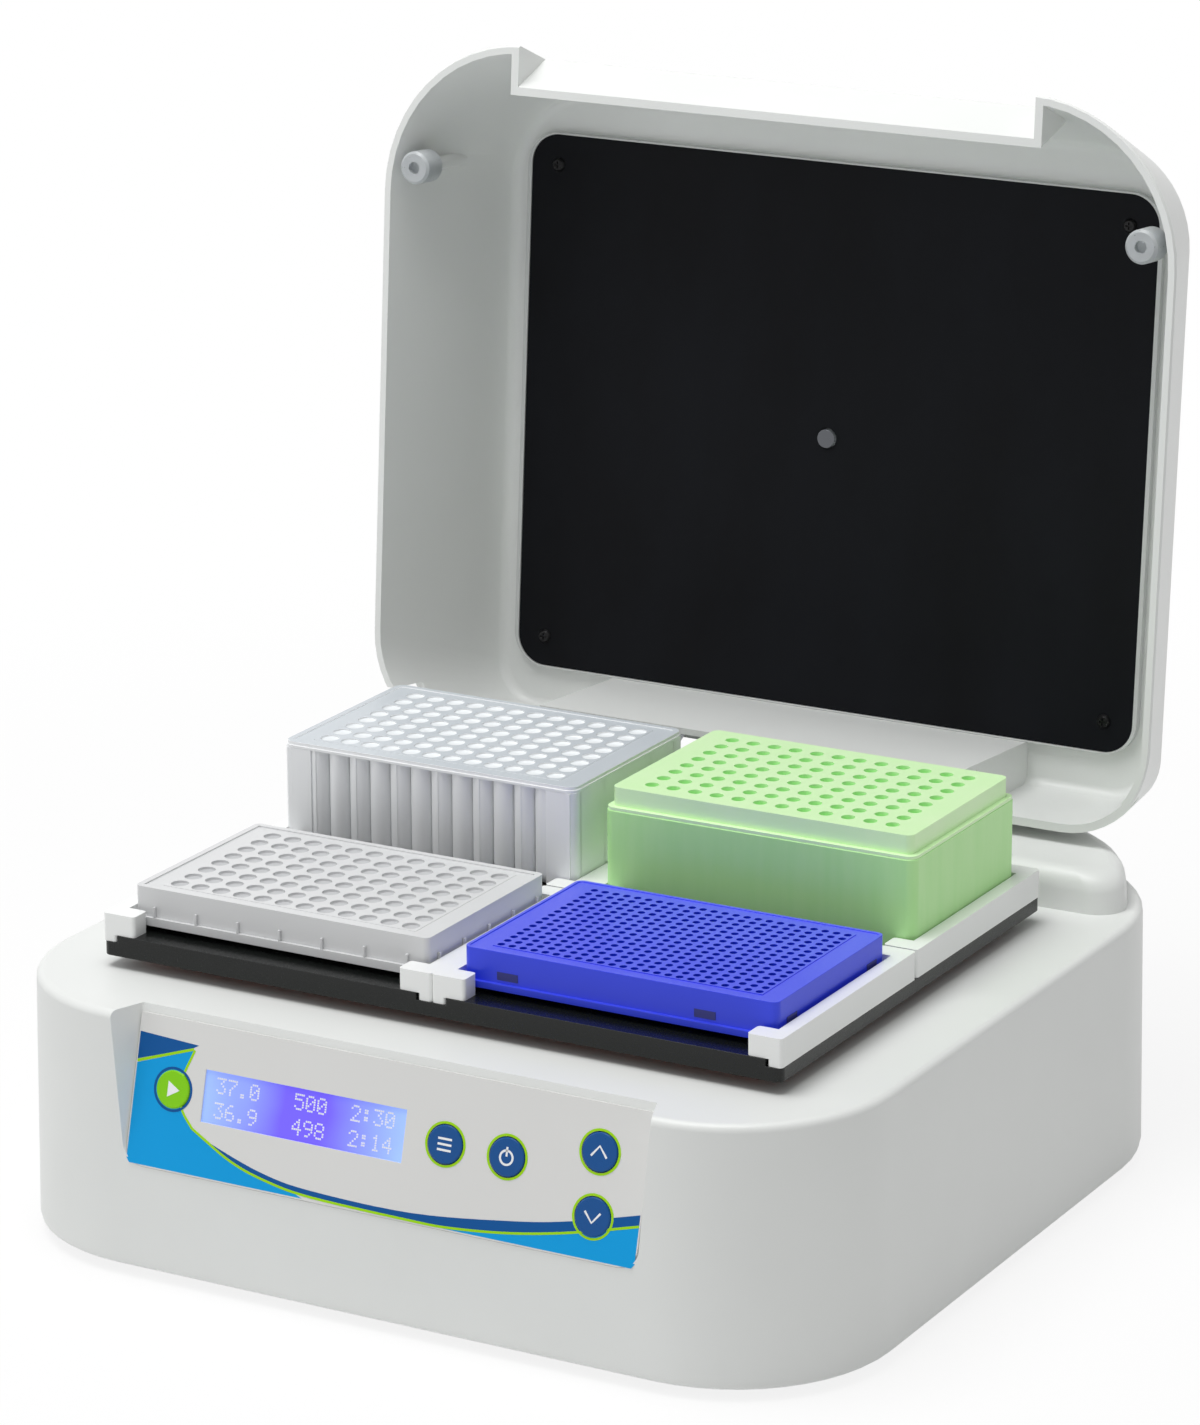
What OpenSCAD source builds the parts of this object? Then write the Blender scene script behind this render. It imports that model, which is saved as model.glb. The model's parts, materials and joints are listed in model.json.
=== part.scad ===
// Heated four-position microplate incubator with an orbital tray and a hinged lid.
// Millimetres, +Z up, +X to the right of the operator, -Y towards the operator.
// Z = 0 is the bench top. The origin is the middle of the floor area that the open machine covers.

/* [Base casing] */
// Width of the casing at its foot
base_w = 346; // [330:1:380]
// Depth of the casing
base_d = 336; // [325:1:370]
// Height of the deck over the bench
deck_z = 101; // [98:0.5:112]
// Plan radius of the two front corners
front_r = 62; // [45:1:70]
// Plan radius of the two rear corners
rear_r = 77; // [60:1:82]
// Draft of the casing walls, foot to deck
draft = 3; // [1:0.25:5]
// Radius of the edge round the deck
deck_edge_r = 3; // [1.5:0.25:5]
// Wall of the moulded casings
wall = 3; // [2.4:0.1:3.6]
// Height of the rubber feet under the casing
foot_h = 4; // [3:0.5:8]
// Radius of the rubber feet
foot_r = 10; // [7:0.5:14]

/* [Rear platform] */
// Height of the platform over the deck
platform_h = 16; // [15:0.5:18]
// How far the platform stands in from the foot of the casing
platform_inset = 7; // [6:0.5:9]
// Radius of the platform's top edge
platform_edge_r = 8; // [4:0.5:9]
// Depth of the platform from front to rear
platform_d = 65; // [64:0.5:72]

/* [Tray] */
// Thickness of the tray
tray_t = 8; // [7:0.5:10]
// Gap between the tray's heater mat and the deck
tray_gap = 3.7; // [3:0.1:6]
// Distance between the tray and the platform behind it
tray_clear = 15; // [13:0.5:20]
// Depth of the rebates that take the holder rails
rebate = 2.7; // [2:0.1:3.5]
// Radius of the shaking orbit
orbit_r = 1.5; // [1:0.1:2]
// Thickness of the silicone heater mat under the tray
mat_t = 1; // [0.8:0.1:1.5]

/* [Plate holders] */
// Thickness of a holder rail
rail_t = 5.75; // [5:0.05:6.5]
// Height of a rail over the tray
rail_h = 8; // [6:0.5:9]
// Gap between the ends of the front and rear rails
rail_gap = 1; // [0.6:0.1:3]
// Thickness of the hooks at the rail's ends
hook_t = 8.7; // [7:0.1:9.5]
// How far a hook reaches in past the rail's inner face
hook_reach = 7.85; // [5:0.25:10]
// Width of the ledge that carries the plate
ledge_w = 2.3; // [1.8:0.1:2.6]
// Height of the ledge over the tray
ledge_h = 2.3; // [2:0.1:2.6]

/* [Plates] */
// Length of a plate's footprint
plate_l = 127.76; // [127.4:0.02:128]
// Depth of a plate's footprint
plate_d = 85.48; // [85.2:0.02:85.8]
// Height of the two low plates
low_h = 14.4; // [13.5:0.1:16]
// Height of the deep-well plate
deep_h = 41.4; // [38:0.1:43]
// Height of the tube rack with its deck
rack_h = 44; // [40:0.25:44.5]
// Distance between two wells of a 96-well plate
well_pitch = 9; // [8.9:0.05:9.1]
// Travel of a plate as it is lifted out, in the open
lift = 60; // [40:1:80]

/* [Lid] */
// Gap between the closed lid's rim and the deck
rim_gap = 1.3; // [1:0.1:2]
// Half width of the lid at its rim
lid_hw = 170; // [168:0.25:170]
// Depth inside the lid from the rim to the heater plate
lid_depth = 60; // [59:0.25:64]
// Lean of the lid's walls, inwards per height
lid_lean = 0.345; // [0.25:0.005:0.36]
// Wall of the lid
lid_wall = 3.2; // [2.6:0.1:3.5]
// Radius inside the lid where the walls meet the ceiling
ceiling_r = 5; // [4:0.5:8]
// Angle through which the lid opens
lid_open = 94.2; // [90:0.2:96]
// Distance from the lid's rim in to the heater plate, at the sides
heater_side = 33.5; // [32.5:0.5:37]
// Distance from the lid's rim in to the heater plate, at the front
heater_land = 42; // [36:0.5:48]
// Thickness of the lid's heater plate
heater_t = 2.5; // [2:0.1:3]
// Half width of the finger scoop
scoop_hw = 110; // [90:1:115]
// Depth of the finger scoop at the rim
scoop_depth = 16.3; // [12:0.1:18]
// Height of the finger scoop
scoop_h = 21; // [16:0.5:24]

/* [Hinge] */
// Height of the hinge axis over the platform's top
hinge_drop = -2; // [-2.5:0.1:-1.5]
// Radius of the hinge pins
pin_r = 3; // [2.5:0.1:3.4]
// Distance from the middle to each hinge
hinge_x = 55; // [50:0.5:62]
// Width of a hinge arm
arm_w = 14; // [11:0.5:16]
// Radius of a hinge arm's barrel
barrel_r = 6.5; // [6:0.1:6.8]
// Depth of the pocket in the lid's rear wall that takes the arms
pocket_depth = 22; // [21:0.5:24]

/* [Control panel] */
// Half width of the panel
panel_hw = 105.5; // [102:0.5:108]
// Height of the panel's lower edge over the bench
panel_z = 44; // [40:0.5:48]
// Lean of the panel from upright
panel_tilt = 14.5; // [12:0.25:17]
// Thickness of the printed overlay
overlay_t = 0.8; // [0.5:0.1:1]
// Width of the display's window
display_w = 84; // [76:0.5:86]
// Height of the display's window
display_h = 19; // [16:0.5:20]
// Radius of the round keys
key_r = 7; // [6:0.1:7.4]
// Travel of the keys
key_travel = 0.8; // [0.5:0.1:1]

/* [Drive] */
// Radius of the main shaft
shaft_r = 6; // [5:0.25:6.5]
// Radius of the crank pin that carries the tray
crank_r = 4; // [3.5:0.1:4.3]
// Radius of the idler cranks' pins
idler_pin_r = 3; // [2.5:0.1:3.4]
// Distance from the middle to the idler cranks, sideways
idler_x = 105; // [98:0.5:108]
// Distance from the tray's middle to the idler cranks, along Y
idler_y = 70; // [64:0.5:72]
// Distance between the motor and the main shaft
motor_back = 84; // [80:1:90]
// Radius of the drive motor
motor_r = 28; // [22:0.5:30]
// Pitch radius of both pulleys
pulley_r = 16; // [12:0.5:18]
// Running clearance of a shaft in its bearing
run_fit = 0.03; // [0.02:0.005:0.06]

/* [Hidden] */
$fn = 48;

// Small gaps and lengths that several pieces share
eps = 0.01;
seat = 0.02; // a pressed or glued piece in its seat
slack = 0.3; // a moving piece beside a fixed one
over = 1; // how far a cut runs past the face it opens

corner_steps = 12;
edge_steps = 4;

// Heights of the base
case_z = foot_h;
inside_top = deck_z - wall;
platform_z = deck_z + platform_h;
hinge_z = platform_z + hinge_drop;
pan_top = case_z + wall;

// Half sizes of the base at the foot
half_w = base_w / 2;
half_d = base_d / 2;

// A plate's play between its rails, and the pitch of the places that follows from it
plate_play_x = 0.37;
plate_play_y = 0.56;
hook_y = plate_d / 2 + plate_play_y;
rail_l = 2 * (hook_y + hook_t);
column_pitch = plate_l + 2 * (plate_play_x + rail_t);
row_pitch = rail_l + rail_gap;

// Rear platform
platform_hw = half_w - platform_inset - 0.5;
platform_rear = half_d - platform_inset + 2;
platform_front = platform_rear - platform_d;
platform_r = rear_r - platform_inset + 2;
platform_corner = 12;

// Lid
rim_z = deck_z + rim_gap;
lid_front = -half_d + draft / 2;
lid_overlap = 17.5; // how far the lid reaches over the platform
hinge_behind = 6.5;
lid_rear = platform_front + lid_overlap;
lid_front_r = front_r;
lid_rear_r = 42;
heater_z = rim_z + lid_depth;
ceiling_z = heater_z + heater_t;
lid_top = ceiling_z + lid_wall;
hinge_y = lid_rear + hinge_behind;
rear_step_y = platform_front - 2;
rear_step_z = platform_z + 1.8;
lean_angle = atan(lid_lean);
lid_edge_r = ceiling_r + lid_wall;
lid_knee = lid_top - lid_edge_r * (1 - sin(lean_angle)) - rim_z;
lid_top_in = lid_knee * lid_lean + lid_edge_r * cos(lean_angle);

// The open machine covers the floor from the casing's front to the open lid's rear
open_reach = hinge_y + (lid_top - hinge_z) * sin(lid_open)
    + (hinge_y - lid_front - lid_top_in) * abs(cos(lid_open));
floor_middle = (open_reach - half_d) / 2;

// Lid heater plate
heater_w = 2 * (lid_hw - heater_side);
heater_front = lid_front + heater_land;
heater_d = lid_rear - pocket_depth - 1 - heater_front;
heater_corner = 12;
trim_w = 1.8;
trim_gap = 0.2;

// Bumpers on posts moulded in the lid's front corners
bumper_in = [14.5, 52];
bumper_at = [lid_hw - bumper_in[0], lid_front + bumper_in[1]];
bumper_r = 6.5;
bumper_h = 12;
bumper_post_r = 2.75;

// Hinge pocket moulded into the lid's rear wall
pocket_hw = 92;
pocket_wall = 3;
pocket_front = lid_rear - pocket_depth;
pocket_back = pocket_front + pocket_wall;
pocket_z = rear_step_z + 3.2;
arm_flange_t = 3;
arm_flange_w = 26;
arm_flange_z = [pocket_z + 4, ceiling_z - 10];

// Hinge ears and slots
ear_t = 3;
ear_gap = 0.5;
ear_r = barrel_r + 0.5;
ear_out = arm_w / 2 + ear_gap + ear_t;
slot_side = 2;
slot_hw = ear_out + slot_side;
slot_y = [hinge_y - 14, platform_rear - 22];
bracket_land = 4;
bracket_side = 8;
bracket_t = 3;
bracket_y = [platform_front + (wall + platform_edge_r * 0.6) * 0.9 + slack, slot_y[1] + bracket_land];
bracket_window = [hinge_y - barrel_r - 2, hinge_y + barrel_r + 6];
bracket_hw = slot_hw + bracket_side;
pin_head_r = pin_r + 0.8;
pin_head_t = 1.2;
pin_head_gap = 0.1;

// Tray
tray_back = platform_front - tray_clear - row_pitch;
mat_z = deck_z + tray_gap;
tray_z = mat_z + mat_t;
tray_top = tray_z + tray_t;
tray_w = 2 * column_pitch;
tray_d = 2 * row_pitch;
tray_edge_r = 3;
rebate_w = rail_t + 0.45;
seat_z = tray_top + ledge_h;
rail_r = 1.4;

// Places of the four plates: front left, front right, rear left, rear right
function place_of(i) = [(i % 2 == 0 ? -1 : 1) * column_pitch / 2,
    tray_back + (i < 2 ? -1 : 1) * row_pitch / 2];

// Control panel: the recess floor starts at the casing's front and leans back
panel_y = -half_d + 0.8;
panel_len = (deck_z - panel_z) / cos(panel_tilt);
panel_flare = 0.39;
panel_corner = 8;
panel_edge = 0.35;
key_gap = 0.25;
key_rise = 0.6;
key_flange_r = key_r + 1.4;
key_flange_t = 1.5;
key_stem_r = 3;
board_z = -14.4;
board_t = 1.6;
board_x = 98;
board_v = [9, 48];
switch_top = -12;
display_u = -33.5;
display_v = 30;
start_uv = [-88.3, 30];
set_uv = [25.4, 30.2];
off_uv = [50.4, 30.2];
up_uv = [86.3, 38.4];
down_uv = [86.5, 15.7];

// Drive: the tray stands at one end of its orbit, so that it is centred here
shaft_x = -orbit_r;
chassis_z = 62;
chassis_t = 4;
chassis_top = chassis_z + chassis_t;
chassis_hw = 125;
chassis_land = 20;
chassis_y = [tray_back - idler_y - chassis_land, tray_back + motor_back + motor_r + 5];
chassis_window = [62, 15, 40]; // centre, half width and half depth
house_top = inside_top - 6;
bearing_r = 16;
bearing_t = 7;
house_wall = 6;
house_r = bearing_r + house_wall;
house_flange_r = house_r + 8;
house_flange_t = 5;
house_rib = [4, 14]; // thickness and height
shaft_hole_r = shaft_r + 3;
hub_r = 11;
hub_boss_r = hub_r + 5;
hub_z = deck_z - 2.5;
hub_top = tray_z - 0.7;
crank_top = hub_top - 0.5;
idler_shaft_r = 4;
bush_r = 11;
idler_boss_r = 9;
idler_boss_z = deck_z - 1;
idler_pin_top = tray_z + 2.3;
pulley_h = 12;
pulley_z = chassis_z - 3 - pulley_h;
belt_t = 1.6;
belt_gap = 0.3;
weight_z = pulley_z - 14;
weight_t = 12;
weight_r = 44;
post_r = 5;
post_x = 115;
post_ahead = 80;
post_behind = 100;
post_y = [tray_back - post_ahead, tray_back + post_behind];

// Rear wall fittings
inlet_x = 62;
inlet_z = 40;
inlet_w = 27.6;
inlet_h = 20;
inlet_depth = 16;
inlet_back = 2;
switch_x = 22;
switch_w = 13;
switch_h = 19;
fuse_x = 93;
fuse_w = 16;
fuse_h = 16;
bezel_t = 1.8;
bezel_lip = 3;
rear_face = half_d - draft / 2 * (inlet_z - case_z) / (deck_z - case_z);

// Supply on the pan, between a chassis post and the inlet
supply = [98, 58, 38];
supply_gap = 12.4;
supply_at = [-post_x + post_r + 3 + supply[0] / 2, rear_face - inlet_depth - inlet_back - supply_gap - supply[1] / 2];
supply_slot = [4, 36, 2];
supply_slot_pitch = 9;

// Case screws and feet, by their distance in from the casing's sides, front and rear
boss_r = 5;
boss_at = [[half_w - 35, -half_d + 50], [half_w - 35, half_d - 63]];
boss_hole = 16;
screw_r = 2;
screw_head_r = 4;
screw_head_t = 1.8;
foot_at = [[half_w - 55, -half_d + 44], [half_w - 55, half_d - 52]];
foot_stem_r = foot_r / 3;

// Tube rack: height of the deck over the box
rack_step = 8.5;

// Points of a quarter arc, anticlockwise from angle a0
function arc_pts(cx, cy, r, a0, sweep = 90, n = corner_steps) =
    [for (i = [0:n]) [cx + r * cos(a0 + sweep * i / n), cy + r * sin(a0 + sweep * i / n)]];

// Rounded plan outline, anticlockwise: half width, front, rear and the two corner radii
function outline(hw, yf, yr, rf, rr) = concat(
    arc_pts(hw - rf, yf + rf, rf, -90), arc_pts(hw - rr, yr - rr, rr, 0),
    arc_pts(-hw + rr, yr - rr, rr, 90), arc_pts(-hw + rf, yf + rf, rf, 180));

// The base's plan outline, drawn in by d all round
function base_pts(d) = outline(half_w - d, -half_d + d, half_d - d, front_r - d, rear_r - d);

// The platform's plan outline: rear corners follow the base, front corners are small
function platform_pts(d) = let (
        r = platform_r - d,
        cx = platform_hw - platform_r,
        cy = platform_rear - platform_r,
        yf = platform_front + d * 0.9,
        a0 = asin((yf + platform_corner - cy) / r),
        xs = cx + r * cos(a0))
    concat(arc_pts(xs - platform_corner, yf + platform_corner, platform_corner, -90, 90),
        arc_pts(cx, cy, r, a0, 90 - a0), arc_pts(-cx, cy, r, 90, 90 - a0),
        arc_pts(-xs + platform_corner, yf + platform_corner, platform_corner, 180, 90));

// The lid's plan outline at a height t over the rim, drawn in by d
function lid_pts(d, rear_d) = outline(lid_hw - d, lid_front + d, lid_rear - rear_d,
    lid_front_r - d, max(lid_rear_r - d, 8));

// Solid through a stack of [outline, height] rings, bottom to top
module loft(rings) {
    n = len(rings[0][0]);
    m = len(rings);
    points = [for (ring = rings) for (p = ring[0]) [p[0], p[1], ring[1]]];
    sides = [for (k = [0:m - 2]) for (i = [0:n - 1])
        let (a = k * n + i, b = k * n + (i + 1) % n)
        for (f = [[a, b, b + n], [a, b + n, a + n]]) [f[2], f[1], f[0]]];
    bottom = [for (i = [0:n - 1]) i];
    top = [for (i = [n - 1:-1:0]) (m - 1) * n + i];
    polyhedron(points, concat([bottom], sides, [top]), convexity = 6);
}

// Everything is drawn about the casing's middle and then set on the part's own origin
module on_bench() {
    translate([0, -floor_middle, 0]) children();
}

// Lid pieces are drawn closed and then opened about the hinge axis
module on_lid() {
    on_bench() translate([0, hinge_y, hinge_z]) rotate([-lid_open, 0, 0])
        translate([0, -hinge_y, -hinge_z]) children();
}

// Panel pieces are drawn flat: x to the right, y up the slope, z out of the recess floor
module on_panel() {
    on_bench() translate([0, panel_y, panel_z]) rotate([90 - panel_tilt, 0, 0]) children();
}

// Rear wall pieces are drawn flat: x to the left seen from behind, y up, z out of the wall
module on_rear(x, z) {
    on_bench() translate([x, rear_face, z]) rotate([90, 0, 180]) children();
}

// Block between two corners
module block(low, high) {
    translate(low) cube(high - low);
}

// Upright bar with rounded corners, exact
module rounded_bar(size, r) {
    linear_extrude(size[2]) rounded_rect(size[0], size[1], r);
}

module rounded_rect(w, d, r) {
    square([w - 2 * r, d], center = true);
    square([w, d - 2 * r], center = true);
    for (x = [-1, 1]) for (y = [-1, 1])
        translate([x * (w / 2 - r), y * (d / 2 - r)]) circle(r);
}

module mirrored_x() {
    children();
    mirror([1, 0, 0]) children();
}

// Outer and inner bodies of the base casing
module base_body() {
    top = draft / 2;
    loft(concat([[base_pts(2), case_z], [base_pts(0.6), case_z + 1], [base_pts(0), case_z + 3]],
        [for (i = [0:edge_steps]) let (a = 90 * i / edge_steps)
            [base_pts(top + deck_edge_r * (1 - cos(a))), deck_z - deck_edge_r * (1 - sin(a))]]));
}

module base_cavity() {
    top = draft / 2 + wall;
    loft([[base_pts(wall), case_z - over], [base_pts(wall), case_z + 3],
        [base_pts(top), inside_top - 3], [base_pts(top + 3), inside_top]]);
}

module platform_body() {
    r = platform_edge_r;
    loft(concat([[platform_pts(-0.5), inside_top + 1], [platform_pts(0), deck_z]],
        [for (i = [0:edge_steps]) let (a = 90 * i / edge_steps)
            [platform_pts(0.8 + r * (1 - cos(a))), platform_z - r * (1 - sin(a))]]));
}

module platform_cavity() {
    r = platform_edge_r;
    loft([[platform_pts(wall + 1), inside_top - over],
        [platform_pts(wall + 1), platform_z - wall - r * 0.6],
        [platform_pts(wall + r * 0.6), platform_z - wall]]);
}

// Recess for the panel; grow makes the pocket that carries its wall
module panel_pocket(grow) {
    function flat_pts(hw, y0) = concat(
        arc_pts(hw - panel_corner, y0 + panel_corner, panel_corner, -90),
        [[hw, panel_len + reach], [-hw, panel_len + reach]],
        arc_pts(-hw + panel_corner, y0 + panel_corner, panel_corner, 180));
    reach = 26;
    loft([[flat_pts(panel_hw + grow, -grow), -grow],
        [flat_pts(panel_hw + grow + panel_flare * (reach + grow), -grow - panel_edge * reach), reach]]);
}

module key_places() {
    for (p = [start_uv, set_uv, off_uv, up_uv, down_uv]) translate(p) children();
}

module upper_housing() {
    color([0.86, 0.86, 0.85]) {
        on_bench() difference() {
            union() {
                base_body();
                platform_body();
            }
            difference() {
                union() {
                    base_cavity();
                    platform_cavity();
                }
                case_bosses();
                translate([0, panel_y, panel_z]) rotate([90 - panel_tilt, 0, 0]) {
                    panel_pocket(wall);
                    board_posts();
                }
            }
            boss_holes();
            deck_holes();
            hinge_slots();
            rear_openings();
            translate([0, panel_y, panel_z]) rotate([90 - panel_tilt, 0, 0]) {
                panel_pocket(0);
                translate([0, 0, -wall - over]) linear_extrude(wall + 2 * over) {
                    key_places() circle(key_r + key_gap);
                    translate([display_u, display_v])
                        square([display_w + 4.4, display_h + 6.4], center = true);
                }
            }
        }
    }
}

module case_bosses() {
    mirrored_x() for (p = boss_at)
        translate([p[0], p[1], pan_top]) cylinder(r = boss_r, h = inside_top - pan_top + over);
}

module boss_holes() {
    mirrored_x() for (p = boss_at)
        translate([p[0], p[1], pan_top - over]) cylinder(r = screw_r + 0.05, h = boss_hole + over);
}

module board_posts() {
    for (x = [-1, 1]) for (v = board_v)
        translate([x * board_x, v + (v == board_v[0] ? 4 : -4), board_z])
            cylinder(r = 3, h = -board_z - wall + eps);
}

module deck_holes() {
    translate([shaft_x, tray_back, inside_top - over])
        cylinder(r = hub_boss_r + orbit_r + 2, h = wall + 2 * over);
    for (x = [-1, 1]) for (y = [-1, 1])
        translate([shaft_x + x * idler_x, tray_back + y * idler_y, inside_top - over])
            cylinder(r = idler_boss_r + orbit_r + 2, h = wall + 2 * over);
}

module hinge_slots() {
    for (x = [-1, 1])
        block([x * hinge_x - slot_hw, slot_y[0], platform_z - platform_h / 2],
            [x * hinge_x + slot_hw, slot_y[1], platform_z + over]);
}

// Openings through the rear wall, with a flat for each fitting
module rear_openings() {
    cut = 12;
    for (f = [[inlet_x, inlet_w + 2 * seat, inlet_h + 2 * seat],
            [switch_x, switch_w + 2 * bezel_t + 2 * seat, switch_h + 2 * bezel_t + 2 * seat],
            [fuse_x, fuse_w + 2 * seat, fuse_h + 2 * seat]])
        translate([-f[0], rear_face, inlet_z]) cube([f[1], 2 * cut, f[2]], center = true);
    land = 20;
    block([-fuse_x - fuse_w, rear_face, inlet_z - land],
        [-switch_x + land - 4, half_d + over, inlet_z + land]);
}

module bottom_pan() {
    gap = 0.3;
    vents = 6;
    vent_w = 4.5;
    vent_l = 50;
    vent_at = [40, 30];
    color([0.35, 0.36, 0.37]) on_bench() difference() {
        loft([[base_pts(wall + gap), case_z], [base_pts(wall + gap), pan_top]]);
        mirrored_x() {
            for (p = boss_at) translate([p[0], p[1], 0]) cylinder(r = screw_r + 0.5, h = 30);
            for (p = foot_at) translate([p[0], p[1], 0]) cylinder(r = foot_stem_r + 0.05, h = 30);
            for (i = [0:vents - 1]) translate([vent_at[0] + 2 * vent_w * i, vent_at[1], 0])
                cube([vent_w, vent_l, 30]);
        }
    }
}

module feet() {
    r = foot_r;
    color([0.12, 0.12, 0.12]) on_bench() mirrored_x() for (p = foot_at)
        translate([p[0], p[1], 0]) rotate_extrude() polygon([[0, 0], [r - 1.2, 0], [r, 1],
            [r - 0.8, foot_h], [foot_stem_r, foot_h], [foot_stem_r, pan_top],
            [foot_stem_r + 0.8, pan_top + 0.4], [foot_stem_r - 0.6, pan_top + 2.4], [0, pan_top + 2.4]]);
}

module pan_screws() {
    slot_l = 4.4;
    slot_w = 0.8;
    color([0.7, 0.7, 0.72]) on_bench() mirrored_x() for (p = boss_at)
        translate([p[0], p[1], case_z - screw_head_t]) difference() {
            union() {
                cylinder(r = screw_head_r, h = screw_head_t);
                cylinder(r = screw_r, h = screw_head_t + wall + boss_hole - 5);
            }
            for (a = [0, 90]) rotate([0, 0, a]) cube([slot_l, slot_w, 2], center = true);
        }
}

module panel_overlay() {
    color([0.84, 0.84, 0.83]) on_panel() linear_extrude(overlay_t) difference() {
        union() {
            translate([-panel_hw + 0.3, panel_corner])
                square([2 * panel_hw - 0.6, panel_len - panel_corner - 3.2]);
            translate([-panel_hw + panel_corner, 0.3])
                square([2 * (panel_hw - panel_corner), panel_corner]);
            for (x = [-1, 1]) translate([x * (panel_hw - panel_corner), panel_corner])
                circle(panel_corner - 0.3);
        }
        key_places() circle(key_r + key_gap);
        translate([display_u, display_v]) square([display_w, display_h], center = true);
    }
}

// Display: glass in the housing's window, frame behind it and four pegs to the board
module lcd_module() {
    w = display_w + 4;
    h = display_h + 6;
    depth = 8;
    color([0.42, 0.36, 0.85]) on_panel() translate([display_u, display_v]) {
        translate([0, 0, -depth / 2]) cube([w, h, depth], center = true);
        for (x = [-1, 1]) for (y = [-1, 1])
            translate([x * (w / 2 - 4), y * (h / 2 - 3), board_z]) cylinder(r = 1.5, h = -board_z - depth + eps);
    }
}

// Key cap with a flange behind the panel and a stem to its switch
module key(uv) {
    flange_z = -wall - slack;
    on_panel() translate(uv) {
        translate([0, 0, flange_z]) rotate_extrude() polygon([
            [0, 0], [key_r, 0], [key_r, overlay_t + key_rise - flange_z - 0.4],
            [key_r - 0.4, overlay_t + key_rise - flange_z], [0, overlay_t + key_rise - flange_z]]);
        translate([0, 0, flange_z - key_flange_t]) cylinder(r = key_flange_r, h = key_flange_t);
        translate([0, 0, switch_top + key_travel + 0.2])
            cylinder(r = key_stem_r, h = flange_z - switch_top - key_travel - 0.2 - eps);
    }
}

module start_button() {
    color([0.55, 0.85, 0.1]) key(start_uv);
}

module set_button() {
    color([0, 0.39, 0.65]) key(set_uv);
}

module off_button() {
    color([0, 0.39, 0.65]) key(off_uv);
}

module up_button() {
    color([0, 0.39, 0.65]) key(up_uv);
}

module down_button() {
    color([0, 0.39, 0.65]) key(down_uv);
}

module control_board() {
    margin = 4;
    color([0.1, 0.4, 0.2]) on_panel() {
        translate([0, (board_v[0] + board_v[1]) / 2, board_z - board_t / 2])
            cube([2 * (board_x + margin), board_v[1] - board_v[0] + 2 * 1, board_t], center = true);
        key_places() translate([0, 0, board_z - eps]) cylinder(r = 3.2, h = switch_top - board_z + eps);
    }
}

// Enclosed supply on the pan with a slotted cover
module power_supply() {
    color([0.75, 0.76, 0.78]) on_bench() translate([supply_at[0], supply_at[1], pan_top]) difference() {
        translate([0, 0, supply[2] / 2]) cube(supply, center = true);
        for (i = [-4:4]) translate([supply_slot_pitch * i, 0, supply[2]])
            cube([supply_slot[0], supply_slot[1], 2 * supply_slot[2]], center = true);
    }
}

module chassis_plate() {
    color([0.78, 0.79, 0.8]) on_bench() difference() {
        block([-chassis_hw, chassis_y[0], chassis_z], [chassis_hw, chassis_y[1], chassis_top]);
        for (y = [0, motor_back]) translate([shaft_x, tray_back + y, 0]) cylinder(r = shaft_hole_r, h = deck_z);
        for (x = [-1, 1]) translate([x * chassis_window[0], tray_back, chassis_z])
            cube([2 * chassis_window[1], 2 * chassis_window[2], 4 * chassis_t], center = true);
    }
}

module chassis_posts() {
    color([0.75, 0.76, 0.78]) on_bench() for (x = [-1, 1]) for (y = post_y)
        translate([x * post_x, y, pan_top]) cylinder(r = post_r, h = chassis_z - pan_top, $fn = 6);
}

module bearing_housing() {
    shoulder = 4;
    color([0.72, 0.73, 0.75]) on_bench() translate([shaft_x, tray_back, chassis_top]) difference() {
        union() {
            cylinder(r = house_r, h = house_top - chassis_top);
            cylinder(r = house_flange_r, h = house_flange_t);
            for (a = [0:90:270]) rotate([0, 0, a + 45]) translate([0, -house_rib[0] / 2, 0])
                cube([house_flange_r - 2, house_rib[0], house_rib[1]]);
        }
        translate([0, 0, -over]) cylinder(r = bearing_r - shoulder, h = house_top);
        translate([0, 0, -over]) cylinder(r = bearing_r + seat, h = bearing_t + over);
        translate([0, 0, house_top - chassis_top - bearing_t]) cylinder(r = bearing_r + seat, h = bearing_t + over);
    }
}

module bearing_ring(r_in, r_out, h) {
    difference() {
        cylinder(r = r_out, h = h);
        translate([0, 0, -over]) cylinder(r = r_in, h = h + 2 * over);
        for (z = [-over, h - 0.6]) translate([0, 0, z]) difference() {
            cylinder(r = r_out * 0.82, h = 0.6 + over);
            translate([0, 0, -over]) cylinder(r = r_in + (r_out - r_in) * 0.35, h = 0.6 + 3 * over);
        }
    }
}

module shaft_bearings() {
    color([0.8, 0.8, 0.82]) on_bench() for (z = [chassis_top, house_top - bearing_t])
        translate([shaft_x, tray_back, z]) bearing_ring(shaft_r + run_fit, bearing_r, bearing_t);
}

// Main shaft with a collar and the crank pin off its axis
module eccentric_shaft() {
    collar_z = house_top + 0.5;
    collar_t = 2.5;
    bottom = weight_z - 3;
    color([0.66, 0.67, 0.7]) on_bench() {
        translate([shaft_x, tray_back, bottom]) {
            cylinder(r = shaft_r, h = collar_z - bottom + eps);
            translate([0, 0, collar_z - bottom]) cylinder(r = shaft_r + 3, h = collar_t);
        }
        translate([0, tray_back, collar_z + collar_t - eps])
            cylinder(r = crank_r, h = crank_top - collar_z - collar_t);
    }
}

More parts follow.
